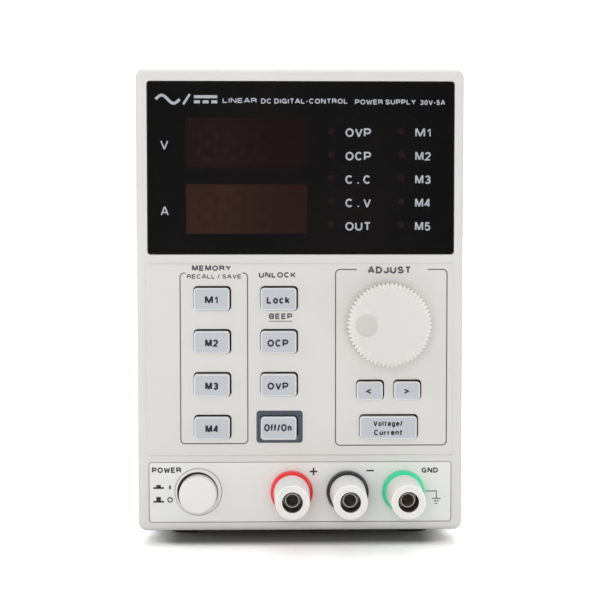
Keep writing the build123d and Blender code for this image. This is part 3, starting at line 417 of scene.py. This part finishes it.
def laminations():
    """Stacked and varnished steel laminations, seen as fine lines across the core's depth."""
    s = Shader("laminations", (0.07, 0.068, 0.07), 0.38, Metallic=0.8)
    wave = s.add("ShaderNodeTexWave", wave_type="BANDS", bands_direction="Y")
    wave.inputs["Scale"].default_value = 320
    wave.inputs["Distortion"].default_value = 0.6
    s.link(s.place(), wave.inputs["Vector"])
    s.color(s.ramp(wave.outputs["Fac"], (0.2, (0.03, 0.028, 0.03)), (0.8, (0.11, 0.105, 0.1))))
    s.bump(wave.outputs["Fac"], 0.08 * MM)
    return s.material


def wound_copper():
    """The winding under amber tape: close turns as bands with a waxy gloss."""
    s = Shader("wound_copper", (0.5, 0.2, 0.05), 0.3, Metallic=0.35, Coat_Weight=0.6, Coat_Roughness=0.2)
    wave = s.add("ShaderNodeTexWave", wave_type="BANDS", bands_direction="Z")
    wave.inputs["Scale"].default_value = 260
    wave.inputs["Distortion"].default_value = 0.4
    s.link(s.place(), wave.inputs["Vector"])
    s.color(s.ramp(wave.outputs["Fac"], (0.25, (0.3, 0.1, 0.02)), (0.8, (0.62, 0.28, 0.08))))
    s.bump(wave.outputs["Fac"], 0.12 * MM)
    return s.material


def ribbed_ribbon():
    """Grey flat cable with its conductors as ribs."""
    s = Shader("ribbed_ribbon", (0.4, 0.41, 0.43), 0.5)
    wave = s.add("ShaderNodeTexWave", wave_type="BANDS", bands_direction="X")
    wave.inputs["Scale"].default_value = 250
    s.link(s.place(), wave.inputs["Vector"])
    s.color(s.ramp(wave.outputs["Fac"], (0.3, (0.2, 0.205, 0.215)), (0.7, (0.46, 0.47, 0.49))))
    s.bump(wave.outputs["Fac"], 0.15 * MM)
    return s.material


SLOT_MATERIALS = {
    "bezel_plastic": moulded_plastic("bezel_plastic", (0.70, 0.685, 0.66), 0.46),
    "panel_plastic": hole_shade_plastic("panel_plastic", PANEL_WHITE),
    "lens_acrylic": smoked_acrylic(),
    "display_plastic": moulded_plastic("display_plastic", (0.03, 0.02, 0.02), 0.4),
    "lamp_resin": moulded_plastic("lamp_resin", (0.3, 0.03, 0.03), 0.2, Coat_Weight=0.5),
    "key_plastic": key_plastic(),
    "knob_plastic": knob_plastic(),
    "cap_plastic": cap_plastic(),
    "red_plastic": ring_plastic("red_plastic", (0.86, 0.022, 0.035), 0.17, 0.06),
    "black_plastic": ring_plastic("black_plastic", (0.018, 0.02, 0.024), 0.17, 0.1),
    "green_plastic": ring_plastic("green_plastic", (0.04, 0.75, 0.36), 0.18, 0.06),
    "plated_brass": plated_stud(),
    "zinc_steel": plated_metal("zinc_steel", (0.66, 0.67, 0.68), 0.3),
    "case_paint": powder_coat("case_paint", (0.60, 0.59, 0.57)),
    "circuit_board": solder_mask(),
    "switch_plastic": moulded_plastic("switch_plastic", (0.02, 0.02, 0.022), 0.45, variation=0.1),
    "rubber_feet": moulded_rubber("rubber_feet", (0.02, 0.02, 0.02)),
    "fan_plastic": moulded_plastic("fan_plastic", (0.018, 0.018, 0.02), 0.5, grain=1400, variation=0.12),
    "guard_chrome": plated_metal("guard_chrome", (0.75, 0.75, 0.76), 0.16),
    "lamination_steel": laminations(),
    "winding_copper": wound_copper(),
    "sink_aluminium": plated_metal("sink_aluminium", (0.68, 0.69, 0.7), 0.38, lines=(1, 0.03, 0.03)),
    "capacitor_sleeve": moulded_plastic("capacitor_sleeve", (0.012, 0.02, 0.06), 0.25, Coat_Weight=0.4),
    "lead_insulation": moulded_rubber("lead_insulation", (0.28, 0.02, 0.02)),
    "ribbon_insulation": ribbed_ribbon(),
}

NODE_MATERIALS = {"power_button": hole_shade_plastic("button_plastic", BUTTON_WHITE)}


def paint_nodes():
    """Gives every CAD node the material of its slot in the record, or its own."""
    slots = {row["node"]: row["material_slot"] for row in frame["record"]["subparts"]}
    for name, node in frame["nodes"].items():
        for entry in node.material_slots:
            entry.material = NODE_MATERIALS.get(name) or SLOT_MATERIALS[slots[name]]


# ---------------------------------------------------------------- flat artwork
MITRE_LIMIT = 0.5  # the least cosine that a corner is mitred by, so that sharp corners stay short
MERGE_DISTANCE = 1e-5  # corners nearer than this are one
CIRCLE_END = 345  # where a circle's outline stops, in degrees, to be closed by its last side


def ellipse(x, z, wide, tall, first, last, steps):
    """Points along an elliptical arc about (x, z), from one angle to another in degrees."""
    turns = [math.radians(first + (last - first) * step / steps) for step in range(steps + 1)]
    return [(x + wide * math.cos(turn), z + tall * math.sin(turn)) for turn in turns]


def arc(x, z, radius, first, last, steps=8):
    """Points along a round arc about (x, z), from one angle to another in degrees."""
    return ellipse(x, z, radius, radius, first, last, steps)


def circle(x, z, radius, steps):
    """A closed circle about (x, z)."""
    return arc(x, z, radius, 0, CIRCLE_END, steps)


def rounded(left, right, bottom, top, corner):
    """A closed rounded rectangle."""
    return (
        arc(right - corner, top - corner, corner, 0, 90)
        + arc(left + corner, top - corner, corner, 90, 180)
        + arc(left + corner, bottom + corner, corner, 180, 270)
        + arc(right - corner, bottom + corner, corner, 270, 360)
    )


def quads(points, width, closed=False):
    """A line of that width as four-sided pieces, one for each run, with mitred corners."""
    count = len(points)
    sides = []
    for index, point in enumerate(points):
        before = points[index - 1] if closed or index else None
        after = points[(index + 1) % count] if closed or index < count - 1 else None
        runs = [Vector(b) - Vector(a) for a, b in ((before, point), (point, after)) if a and b]
        normals = [Vector((-run.y, run.x)).normalized() for run in runs]
        mitre = (normals[0] + normals[-1]).normalized()
        reach = width / 2 / max(mitre.dot(normals[0]), MITRE_LIMIT)
        sides.append((Vector(point) + mitre * reach, Vector(point) - mitre * reach))
    pairs = list(zip(sides, sides[1:] + sides[:1] if closed else sides[1:]))
    return [[a[0], b[0], b[1], a[1]] for a, b in pairs]


def open_frame(left, right, bottom, top, corner, gap, width):
    """A rounded frame line whose top is open between the two values of gap."""
    path = [(gap[0], top)]
    path += arc(left + corner, top - corner, corner, 90, 180)
    path += arc(left + corner, bottom + corner, corner, 180, 270)
    path += arc(right - corner, bottom + corner, corner, 270, 360)
    path += arc(right - corner, top - corner, corner, 0, 90)
    return quads(path + [(gap[1], top)], width)


def bar(left, right, bottom, top):
    """A closed plain rectangle."""
    return [(left, bottom), (right, bottom), (right, top), (left, top)]


def band(outer, inner):
    """The area between two closed outlines with equally many points, as four-sided pieces."""
    return [[outer[i - 1], outer[i], inner[i], inner[i - 1]] for i in range(len(outer))]


def inside(point, outline):
    """Whether a point lies in a closed outline."""
    x, z = point
    crossings = 0
    for (ax, az), (bx, bz) in zip(outline, outline[1:] + outline[:1]):
        if (az > z) != (bz > z) and x < ax + (bx - ax) * (z - az) / (bz - az):
            crossings += 1
    return crossings % 2 == 1


def merged(shapes):
    """The flat union of overlapping closed outlines, as corners and faces."""
    corners, edges, columns = [], [], {}
    for shape in shapes:
        ring = range(len(corners), len(corners) + len(shape))
        edges += zip(ring, [*ring[1:], ring[0]])
        corners += [Vector(point) for point in shape]
        reach = [math.floor(x) for x, _ in shape]
        for column in range(min(reach), max(reach) + 1):
            columns.setdefault(column, []).append(shape)
    flat, _, faces, *_ = delaunay_2d_cdt(corners, edges, [], 0, MERGE_DISTANCE)
    kept = []
    for face in faces:
        centre = sum((flat[index] for index in face), Vector((0, 0))) / len(face)
        if any(inside(centre, shape) for shape in columns.get(math.floor(centre.x), ())):
            kept.append(face)
    return flat, kept


def artwork(name, body, material, y, shapes, rise=INK_RISE):
    """One thin printed piece on the plane at y, seen from the front: the union of shapes in millimetres."""
    flat, faces = merged(shapes)
    made = bmesh.new()
    front = [made.verts.new((p.x * MM, y - rise, BEZEL_FOOT + p.y * MM)) for p in flat]
    for face in faces:
        made.faces.new([front[index] for index in face])
    raised = bmesh.ops.extrude_face_region(made, geom=made.faces[:])
    for item in raised["geom"]:
        if isinstance(item, bmesh.types.BMVert):
            item.co.y = y
    loose = [vert for vert in made.verts if not vert.link_faces]
    bmesh.ops.delete(made, geom=loose, context="VERTS")
    bmesh.ops.recalc_face_normals(made, faces=made.faces[:])
    mesh = bpy.data.meshes.new(name)
    made.to_mesh(mesh)
    made.free()
    mesh.materials.append(material)
    piece = bpy.data.objects.new(name, mesh)
    bpy.context.scene.collection.objects.link(piece)
    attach(piece, body)
    return piece


# ---------------------------------------------------------------- lettering
BEND_STEP = 18  # degrees between the points of a bend, about


def bend(x, z, wide, tall, first, last):
    """Points along an elliptical arc of a letter, from one angle to another in degrees."""
    return ellipse(x, z, wide, tall, first, last, max(2, round(abs(last - first) / BEND_STEP)))


BOWL_TOP = [(0, 1), (0.55, 1), *bend(0.55, 0.75, 0.45, 0.25, 80, -80), (0.55, 0.5), (0, 0.5)]
LOW_BOWL = [(0, 1), (0.6, 1), *bend(0.6, 0.7, 0.42, 0.3, 80, -80), (0.6, 0.4), (0, 0.4)]
RING = bend(0.5, 0.5, 0.5, 0.5, 90, 450)
SMALL = 0.72  # height of small letters
SMALL_RING = bend(0.5, SMALL / 2, 0.5, SMALL / 2, 90, 450)
SMALL_ARCH = [(0, 0.4), *bend(0.5, 0.42, 0.5, 0.3, 180, 0), (1, 0)]

# Each letter: its width in capital heights, then its strokes' middle lines, from 0 to 1 across and up.
LETTERS = {
    "A": (0.72, [(-0.02, 0), (0.42, 1), (0.58, 1), (1.02, 0)], [(0.17, 0.32), (0.83, 0.32)]),
    "B": (0.66, [(0, 1), (0, 0)], BOWL_TOP,
          [(0, 0), (0.55, 0), *bend(0.55, 0.25, 0.45, 0.25, -80, 80), (0.5, 0.5)]),
    "C": (0.70, bend(0.5, 0.5, 0.5, 0.5, 42, 318)),
    "D": (0.68, [(0, 0), (0, 1), (0.4, 1), *bend(0.4, 0.5, 0.6, 0.5, 80, -80), (0.4, 0), (0, 0)]),
    "E": (0.60, [(1, 1), (0, 1), (0, 0), (1, 0)], [(0, 0.52), (0.92, 0.52)]),
    "G": (0.73, [*bend(0.5, 0.5, 0.5, 0.5, 42, 320), (0.97, 0), (0.97, 0.45), (0.55, 0.45)]),
    "I": (0.0, [(0.5, 0), (0.5, 1)]),
    "J": (0.50, [(1, 1), (1, 0.3), *bend(0.5, 0.3, 0.5, 0.3, 0, -180)]),
    "K": (0.66, [(0, 0), (0, 1)], [(0.98, 1), (0.04, 0.36)], [(0.32, 0.56), (1, 0)]),
    "L": (0.54, [(0, 1), (0, 0), (1, 0)]),
    "M": (0.80, [(0, 0), (0, 1), (0.1, 1), (0.47, 0.1), (0.53, 0.1), (0.9, 1), (1, 1), (1, 0)]),
    "N": (0.68, [(0, 0), (0, 1), (0.1, 1), (0.9, 0), (1, 0), (1, 1)]),
    "O": (0.78, RING),
    "P": (0.64, [(0, 0), *LOW_BOWL]),
    "R": (0.66, [(0, 0), *BOWL_TOP], [(0.55, 0.5), *bend(0.6, 0.25, 0.36, 0.24, 60, 10), (1, 0)]),
    "S": (0.64, [*bend(0.5, 0.75, 0.46, 0.25, 15, 255), *bend(0.5, 0.26, 0.5, 0.26, 75, -165)]),
    "T": (0.62, [(0, 1), (1, 1)], [(0.5, 1), (0.5, 0)]),
    "U": (0.66, [(0, 1), (0, 0.32), *bend(0.5, 0.32, 0.5, 0.32, 180, 360), (1, 1)]),
    "V": (0.66, [(-0.02, 1), (0.46, 0), (0.54, 0), (1.02, 1)]),
    "W": (0.95, [(0, 1), (0.23, 0), (0.28, 0), (0.5, 0.95), (0.72, 0), (0.77, 0), (1, 1)]),
    "Y": (0.66, [(-0.02, 1), (0.5, 0.45), (1.02, 1)], [(0.5, 0.45), (0.5, 0)]),
    "0": (0.52, bend(0.5, 0.5, 0.5, 0.5, 90, 450)),
    "1": (0.24, [(1, 0), (1, 1), (0.85, 0.9), (0, 0.74)]),
    "2": (0.52, [*bend(0.5, 0.72, 0.5, 0.28, 170, -30), (0.0, 0.0), (1, 0)]),
    "3": (0.52, [*bend(0.5, 0.75, 0.46, 0.25, 160, -75), *bend(0.5, 0.27, 0.5, 0.27, 75, -160)]),
    "4": (0.54, [(0.76, 0), (0.76, 1), (0.66, 1), (0, 0.28), (1, 0.28)]),
    "5": (0.52, [(0.92, 1), (0.16, 1), (0.06, 0.5), *bend(0.48, 0.32, 0.5, 0.32, 125, -155)]),
    "a": (0.50, [(0.98, 0), (0.92, 0.14), (0.92, 0.5), *bend(0.48, 0.5, 0.44, 0.22, 0, 165)],
          [(0.92, 0.42), (0.4, 0.38), *bend(0.36, 0.19, 0.36, 0.19, 100, 290), (0.92, 0.14)]),
    "c": (0.48, bend(0.5, SMALL / 2, 0.5, SMALL / 2, 42, 318)),
    "e": (0.50, [(0.04, 0.36), (1, 0.36), *bend(0.5, SMALL / 2, 0.5, SMALL / 2, 0, 325)]),
    "f": (0.16, [(0.2, 0), (0.2, 0.75), *bend(1.5, 0.75, 1.3, 0.25, 180, 90)], [(-1.1, 0.6), (1.5, 0.6)]),
    "g": (0.50, SMALL_RING, [(1, SMALL), (1, -0.06), *bend(0.5, -0.06, 0.5, 0.2, 0, -160)]),
    "k": (0.46, [(0, 0), (0, 1)], [(0.95, SMALL), (0.04, 0.26)], [(0.34, 0.42), (1, 0)]),
    "l": (0.0, [(0.5, 0), (0.5, 1)]),
    "n": (0.46, [(0, 0), (0, SMALL)], SMALL_ARCH),
    "o": (0.52, SMALL_RING),
    "r": (0.28, [(0, 0), (0, SMALL)], [(0, 0.4), *bend(0.9, 0.4, 0.9, 0.3, 180, 90)]),
    "t": (0.3, [(0.35, 1), (0.35, 0.12), *bend(0.8, 0.12, 0.45, 0.12, 180, 270)],
          [(-0.25, 0.7), (1.1, 0.7)]),
    "u": (0.46, [(0, SMALL), (0, 0.3), *bend(0.5, 0.3, 0.5, 0.3, 180, 360), (1, 0.3)],
          [(1, SMALL), (1, 0)]),
    "/": (0.26, [(-0.1, -0.04), (1.1, 1.04)]),
    "-": (0.24, [(0, 0.42), (1, 0.42)]),
    ".": (0.0, [(0.5, -0.06), (0.5, 0.09)]),
    "<": (0.60, [(1, 0.95), (0, 0.5), (1, 0.05)]),
    ">": (0.60, [(0, 0.95), (1, 0.5), (0, 0.05)]),
}
LETTER_GAP = 0.16
WORD_GAP = 0.34
SAME_POINT = 1e-6  # a line is closed if its ends are nearer than this


def lettering(text, left, right, bottom, top, width):
    """A line of words from left to right, its capitals from bottom to top, with strokes of that width."""
    height = top - bottom
    natural = -LETTER_GAP
    for letter in text:
        natural += WORD_GAP if letter == " " else LETTERS[letter][0] + LETTER_GAP
    strokes = sum(letter != " " for letter in text) * width
    stretch = (right - left - strokes) / natural
    x = left
    shapes = []
    for letter in text:
        if letter == " ":
            x += WORD_GAP * stretch
            continue
        wide, *lines = LETTERS[letter]
        for line in lines:
            path = [
                (x + width / 2 + u * wide * stretch, bottom + width / 2 + v * (height - width))
                for u, v in line
            ]
            closed = (Vector(line[0]) - Vector(line[-1])).length < SAME_POINT
            lowest = bottom + min(0, *(v for _, v in line)) * height
            for quad in quads(path[:-1] if closed else path, width, closed):
                shapes.append([(px, max(lowest, min(pz, top))) for px, pz in quad])
        x += wide * stretch + width + LETTER_GAP * stretch
    return shapes


def words(rows):
    """Lines of lettering, one for each row of lettering's arguments."""
    return [shape for row in rows for shape in lettering(*row)]


# ---------------------------------------------------------------- display window
WINDOW_LEFT, WINDOW_RIGHT = -38.4, 2.4
WINDOW_SPANS = {"voltage": (123.2, 139.9), "current": (101.1, 117.7)}
WINDOW_CORNER = 0.4
FILM_LOOKS = {  # dark colour, light colour, stretch of the clouds
    "voltage": ((0.0125, 0.0068, 0.0066), (0.019, 0.0085, 0.008), (1, 1, 2)),
    "current": ((0.017, 0.0078, 0.0062), (0.036, 0.0155, 0.010), (1, 1, 1.6)),
}
DIGITS = 4
DIGIT_INDENT = (4.0, 3.0)  # the first digit's corner from its window's
DIGIT_PITCH = 9.4
DIGIT_SIZE = (5.4, 10.6)
DIGIT_LEAN = 0.1
SEGMENT = 1.3
SEGMENT_GAP = 0.28
POINT_PLACE = (7.6, 2.8)  # a decimal point's middle: right of its digit's left side, up from the window's
POINT_RADIUS = 0.7
LAMP_ROWS = (135.4, 127.6, 119.8, 112.0, 104.2)
LAMP_COLUMNS = (10.5, 34.1)
LAMP_RADIUS = 1.15
LAMP_WORDS = (("OVP", "M1"), ("OCP", "M2"), ("C . C", "M3"), ("C . V", "M4"), ("OUT", "M5"))
LAMP_WORD_SIZES = ((15.2, 23.8, 2.9, 0.55), (38.75, 43.95, 2.85, 0.52))  # left, right, height, stroke
LAMP_WORD_DROP = 1.8  # from a lamp's middle down to its words
LAMP_WORD_SLIP = 0.06  # and this much more with each row
WINDOW_WORDS = [  # text, left, right, bottom, top, stroke
    ("LINEAR", -26.0, -14.6, 144.9, 146.55, 0.34),
    ("DC DIGITAL-CONTROL", -13.15, 15.95, 144.7, 146.4, 0.36),
    ("POWER SUPPLY", 18.4, 38.85, 144.45, 146.15, 0.36),
    ("30V-5A", 40.3, 48.75, 144.3, 146.0, 0.36),
    ("V", -46.9, -44.3, 129.4, 132.4, 0.48),
    ("A", -46.9, -44.3, 107.2, 110.2, 0.48),
]


def digit(x, z):
    """The seven bars of one unlit digit, leaning a little to the right."""
    width, height = DIGIT_SIZE
    half, edge = height / 2, SEGMENT / 2
    near, far = SEGMENT_GAP + edge, SEGMENT_GAP + SEGMENT
    bars = []
    for level in (0, half, height):
        bars.append([
            (near, level), (far, level + edge), (width - far, level + edge),
            (width - near, level), (width - far, level - edge), (far, level - edge),
        ])
    for side in (0, width):
        for start in (0, half):
            bars.append([
                (side, start + near), (side + edge, start + far), (side + edge, start + half - far),
                (side, start + half - near), (side - edge, start + half - far), (side - edge, start + far),
            ])
    return [[(x + px + DIGIT_LEAN * pz, z + pz) for px, pz in loop] for loop in bars]


def display_window():
    """Filters, unlit digits and lamps of the dark window."""
    ghost = filter_film("unlit_digits", (0.0155, 0.0073, 0.0066), (0.028, 0.012, 0.009), (1, 1, 1.6))
    for name, (bottom, top) in WINDOW_SPANS.items():
        window = rounded(WINDOW_LEFT, WINDOW_RIGHT, bottom, top, WINDOW_CORNER)
        artwork(f"{name}_window", "case", filter_film(f"{name}_film", *FILM_LOOKS[name]), LENS_Y, [window])
        digits = []
        for place in range(DIGITS):
            left = WINDOW_LEFT + DIGIT_INDENT[0] + DIGIT_PITCH * place
            digits += digit(left, bottom + DIGIT_INDENT[1])
            digits.append(circle(left + POINT_PLACE[0], bottom + POINT_PLACE[1], POINT_RADIUS, 12))
        artwork(f"{name}_digits", "case", ghost, LENS_Y - INK_RISE, digits, rise=DIGIT_RISE)
    lamp = filter_film("unlit_lamps", (0.02, 0.011, 0.0102), (0.034, 0.0145, 0.0125), (1, 1, 1))
    lamps = [circle(x, z, LAMP_RADIUS, 20) for x in LAMP_COLUMNS for z in LAMP_ROWS]
    artwork("lamp_windows", "case", lamp, LENS_Y, lamps)


def power_sign():
    """A generic sign for alternating to direct current: a sine wave, a slash, and a line over dashes."""
    left, base = -48.4, 146.1
    wave_length, wave_height, wave_steps = 8.0, 1.35, 24
    slash_foot, slash_head, slash_reach = 9.2, 11.4, 1.7
    line_start, line_end = 12.8, 20.6
    dash_end, dash_pitch = 14.8, 2.9
    near, far = 0.35, 1.35  # edges of the line and the dashes, above and below the base
    wave_stroke, slash_stroke = 0.95, 0.75
    wave = []
    for step in range(wave_steps + 1):
        turn = step / wave_steps
        wave.append((left + wave_length * turn, base + wave_height * math.sin(2 * math.pi * turn)))
    slash = [(left + slash_foot, base - slash_reach), (left + slash_head, base + slash_reach)]
    line = bar(left + line_start, left + line_end, base + near, base + far)
    dashes = []
    for shift in (0, dash_pitch, 2 * dash_pitch):
        dashes.append(bar(left + line_start + shift, left + dash_end + shift, base - far, base - near))
    return [*quads(wave, wave_stroke), *quads(slash, slash_stroke), line, *dashes]


def window_print():
    """The light printing on the window."""
    shapes = power_sign() + words(WINDOW_WORDS)
    for row, pair in enumerate(LAMP_WORDS):
        bottom = LAMP_ROWS[row] - LAMP_WORD_DROP - LAMP_WORD_SLIP * row
        for text, (left, right, tall, width) in zip(pair, LAMP_WORD_SIZES):
            shapes += lettering(text, left, right, bottom, bottom + tall, width)
    artwork("window_print", "case", ink("window_ink", (0.40, 0.41, 0.455)), LENS_Y, shapes)


# ---------------------------------------------------------------- printing on the plastic
FRAME_LINE = 0.36
FRAMES = [  # left, right, bottom, top, corner radius, span of the opening in the top
    (-40.5, -17.8, 30.1, 87.9, 1.4, (-38.7, -19.6)),
    (11.9, 49.6, 29.4, 89.1, 1.5, (19.1, 43.0)),
]
FIELD_WORDS = [  # text, left, right, bottom, top, stroke
    ("MEMORY", -36.5, -23.4, 88.6, 90.5, 0.5),
    ("RECALL / SAVE", -38.2, -19.9, 86.0, 87.5, 0.32),
    ("UNLOCK", -14.0, -1.5, 86.3, 88.2, 0.47),
    ("BEEP", -10.6, -2.7, 72.3, 74.3, 0.5),
    ("ADJUST", 22.75, 37.4, 87.7, 90.1, 0.6),
]
BEEP_UNDERLINE = (-10.6, -2.7, 71.5, 71.75)
SURROUND = (-14.9, 0.8, 30.3, 41.3, 1.1)  # the dark patch round the output key: its sides and corner radius
OUTPUT_KEY = (-7.2, 35.5)  # the middle of the output key's hole
OUTPUT_KEY_HALF = (6, 3.8)
SURROUND_EDGE = 0.42  # the patch stops this far from the key
SURROUND_HOLE_CORNER = 1.5


def field_print():
    """Words, frame lines and the dark surround on the key field."""
    shapes = [shape for row in FRAMES for shape in open_frame(*row, FRAME_LINE)]
    shapes.append(bar(*BEEP_UNDERLINE))
    shapes += words(FIELD_WORDS)
    artwork("field_print", "case", ink("field_ink", (0.085, 0.087, 0.098)), FIELD_Y, shapes)
    sides = []
    for centre, half in zip(OUTPUT_KEY, OUTPUT_KEY_HALF):
        sides += [centre - half - SURROUND_EDGE, centre + half + SURROUND_EDGE]
    patch = band(rounded(*SURROUND), rounded(*sides, SURROUND_HOLE_CORNER))
    artwork("output_surround", "case", ink("surround_ink", (0.068, 0.08, 0.108)), FIELD_Y, patch)


PICTOGRAM_BARS = {  # left, right, bottom, top
    "button_in": [(-49.95, -46.35, 14.6, 15.2), (-48.95, -47.4, 15.1, 15.95), (-44.6, -44.0, 14.5, 15.75)],
    "button_out": [(-49.95, -46.35, 9.9, 10.5), (-48.95, -47.4, 10.4, 11.85)],
    "plus": [(3.2, 5.75, 20.1, 20.65), (4.2, 4.75, 19.1, 21.65)],
    "minus": [(22.45, 25.05, 20.35, 20.85)],
    "earth_wire": [(42.6, 46.5, 13.38, 13.68), (46.22, 46.52, 11.1, 13.68)],
    "earth_plates": [(44.9, 47.8, 10.8, 11.1), (45.5, 47.2, 9.95, 10.25), (45.95, 46.75, 9.1, 9.4)],
}
BUTTON_OUT_RING = (-44.3, 10.85, 0.75)  # the round mark beside the standing button: middle and radius
BUTTON_OUT_STROKE = 0.4
PANEL_WORDS = [  # text, left, right, bottom, top, stroke
    ("POWER", -50.4, -40.5, 20.05, 21.95, 0.45),
    ("GND", 41.3, 46.9, 19.8, 21.6, 0.42),
]


def panel_print():
    """Words and pictograms on the output panel: the button's two states, plus, minus and an earth sign."""
    shapes = [bar(*sides) for bars in PICTOGRAM_BARS.values() for sides in bars]
    shapes += quads(circle(*BUTTON_OUT_RING, steps=23), BUTTON_OUT_STROKE, closed=True)
    shapes += words(PANEL_WORDS)
    artwork("panel_print", "case", ink("panel_ink", (0.02, 0.02, 0.022)), PANEL_Y, shapes)


KEY_WORDS = {  # text, left, right, height of the capitals, stroke
    "lock_key": ("Lock", -11.35, -3.6, 2.5, 0.58),
    "over_current_key": ("OCP", -11.15, -4.1, 2.45, 0.56),
    "over_voltage_key": ("OVP", -11.15, -4.1, 2.45, 0.56),
    "output_key": ("Off/On", -12.3, -3.0, 2.5, 0.54),
    "left_key": ("<", 22.2, 24.0, 1.95, 0.5),
    "right_key": (">", 34.9, 36.7, 1.95, 0.5),
}
KEY_WORDS |= {f"memory_key_{n}": (f"M{n}", -32.1, -27.7, 2.5, 0.62) for n in range(1, 5)}
LEGEND_DROP = 0.22  # how far a legend's middle stands below its key's
OWN_DROPS = {"output_key": -0.2, "left_key": 0.08, "right_key": 0.08}  # for the keys where it differs
MODE_WORDS = [  # text, left, right, bottom, top, stroke
    ("Voltage/", 24.65, 34.5, 36.1, 37.95, 0.42),
    ("Current", 24.85, 34.55, 33.0, 34.95, 0.44),
]


def key_legends():
    """The bold word or words on each key, which move with it."""
    dark = ink("legend_ink", (0.012, 0.014, 0.024))
    for key, (text, left, right, tall, width) in KEY_WORDS.items():
        bottom = (middle(key).z - BEZEL_FOOT) / MM - OWN_DROPS.get(key, LEGEND_DROP) - tall / 2
        legend = lettering(text, left, right, bottom, bottom + tall, width)
        artwork(f"{key}_legend", key, dark, low(key).y, legend)
    artwork("mode_key_legend", "mode_key", dark, low("mode_key").y, words(MODE_WORDS))


# ---------------------------------------------------------------- stage, light and camera
def stage_plane(name, size, place, turn, material):
    """A large flat card of the studio."""
    half = size / 2
    mesh = bpy.data.meshes.new(name)
    mesh.from_pydata([(x, y, 0) for x, y in bar(-half, half, -half, half)], [], [(0, 1, 2, 3)])
    mesh.materials.append(material)
    card = bpy.data.objects.new(name, mesh)
    card.location = place
    card.rotation_euler = turn
    bpy.context.scene.collection.objects.link(card)
    return card


def seen_directly(tree):
    """1 for what the camera sees itself, 0 for light that bounces."""
    return tree.nodes.new("ShaderNodeLightPath").outputs["Is Camera Ray"]


def white_floor():
    """A floor that is brighter to the camera than to bounced light, with a painted shadow under the case."""
    bounced, seen = 0.8, 1.5
    paint = Shader("floor_paint", (0.9, 0.9, 0.9), 0.8)
    paint.color(paint.span(seen_directly(paint.tree), bounced, seen))
    across = paint.math("ABSOLUTE", paint.axis("X"))
    # painted shadow: the floor's colour is darkened under the case
    under_case = paint.recess(FACE_Y - 1 * MM, FACE_Y + 8 * MM, across, 42 * MM, 10 * MM)
    paint.tint(under_case, (0.3, 0.3, 0.3))
    stage_plane("floor", 30.0, (0, 0, 0), (0, 0, 0), paint.material)


def dark_card():
    """A dark card behind the camera, for the window to mirror."""
    paint = Shader("card_paint", (0.004, 0.004, 0.004), 0.9)
    card = stage_plane("dark_card", 1.4, (0, -1.6, 0.3), (math.radians(90), 0, 0), paint.material)
    card.visible_camera = False
    card.visible_diffuse = False
    card.visible_shadow = False


def pale_sky():
    """A white sky, brighter to the camera than to the objects that it lights."""
    bounced, seen = 0.64, 1.1
    world = bpy.data.worlds.new("sky")
    bpy.context.scene.world = world
    world.use_nodes = True
    tree = world.node_tree
    background = tree.nodes["Background"]
    background.inputs["Color"].default_value = (1, 1, 1, 1)
    level = tree.nodes.new("ShaderNodeMapRange")
    level.inputs["To Min"].default_value = bounced
    level.inputs["To Max"].default_value = seen
    tree.links.new(seen_directly(tree), level.inputs["Value"])
    tree.links.new(level.outputs["Result"], background.inputs["Strength"])
    bpy.context.scene.view_settings.view_transform = "Standard"


def soft_sun(strength, spread, lean):
    """Broad daylight: its strength, its angle across, and how far it leans to the front, in degrees."""
    light = bpy.data.lights.new("sun", "SUN")
    light.energy = strength
    light.angle = math.radians(spread)
    sun = bpy.data.objects.new("sun", light)
    sun.rotation_euler = Euler((math.radians(-lean), 0, 0))
    bpy.context.scene.collection.objects.link(sun)


def softbox(name, place, aim, size, power, mirrored=True):
    """A square area light at a place, aimed at a point, which glossy surfaces mirror or not."""
    light = bpy.data.lights.new(name, "AREA")
    light.shape = "SQUARE"
    light.size = size
    light.energy = power
    box = bpy.data.objects.new(name, light)
    box.visible_glossy = mirrored
    box.location = place
    box.rotation_euler = (Vector(aim) - Vector(place)).to_track_quat("-Z", "Y").to_euler()
    bpy.context.scene.collection.objects.link(box)


def camera():
    """The camera stands just over half a metre in front, level with the window's lower part."""
    down, right = 3.546, 1.436  # degrees
    data = bpy.data.cameras.new("camera")
    data.sensor_width = 36.0
    data.lens = 98.08
    data.shift_x = -0.0204
    data.shift_y = 0.0446
    data.clip_start = 0.01
    shot = bpy.data.objects.new("camera", data)
    shot.location = (-9.8 * MM, FACE_Y - 551.8 * MM, BEZEL_FOOT + 103.9 * MM)
    shot.rotation_euler = Euler((math.radians(90 - down), 0, math.radians(-right)))
    bpy.context.scene.collection.objects.link(shot)
    bpy.context.scene.camera = shot


paint_nodes()
display_window()
window_print()
field_print()
panel_print()
key_legends()
white_floor()
dark_card()
pale_sky()
soft_sun(strength=1.45, spread=50, lean=22)
softbox("right_light", place=(1.3, -0.15, 0.5), aim=(0, -0.1, 0.08), size=1.0, power=2.0)
softbox("left_light", place=(-1.3, -0.15, 0.5), aim=(0, -0.1, 0.08), size=1.0, power=2.2)
softbox("front_light", place=(-0.1, -1.2, 0.22), aim=(0, -0.13, 0.03), size=0.4, power=3.4, mirrored=False)
camera()
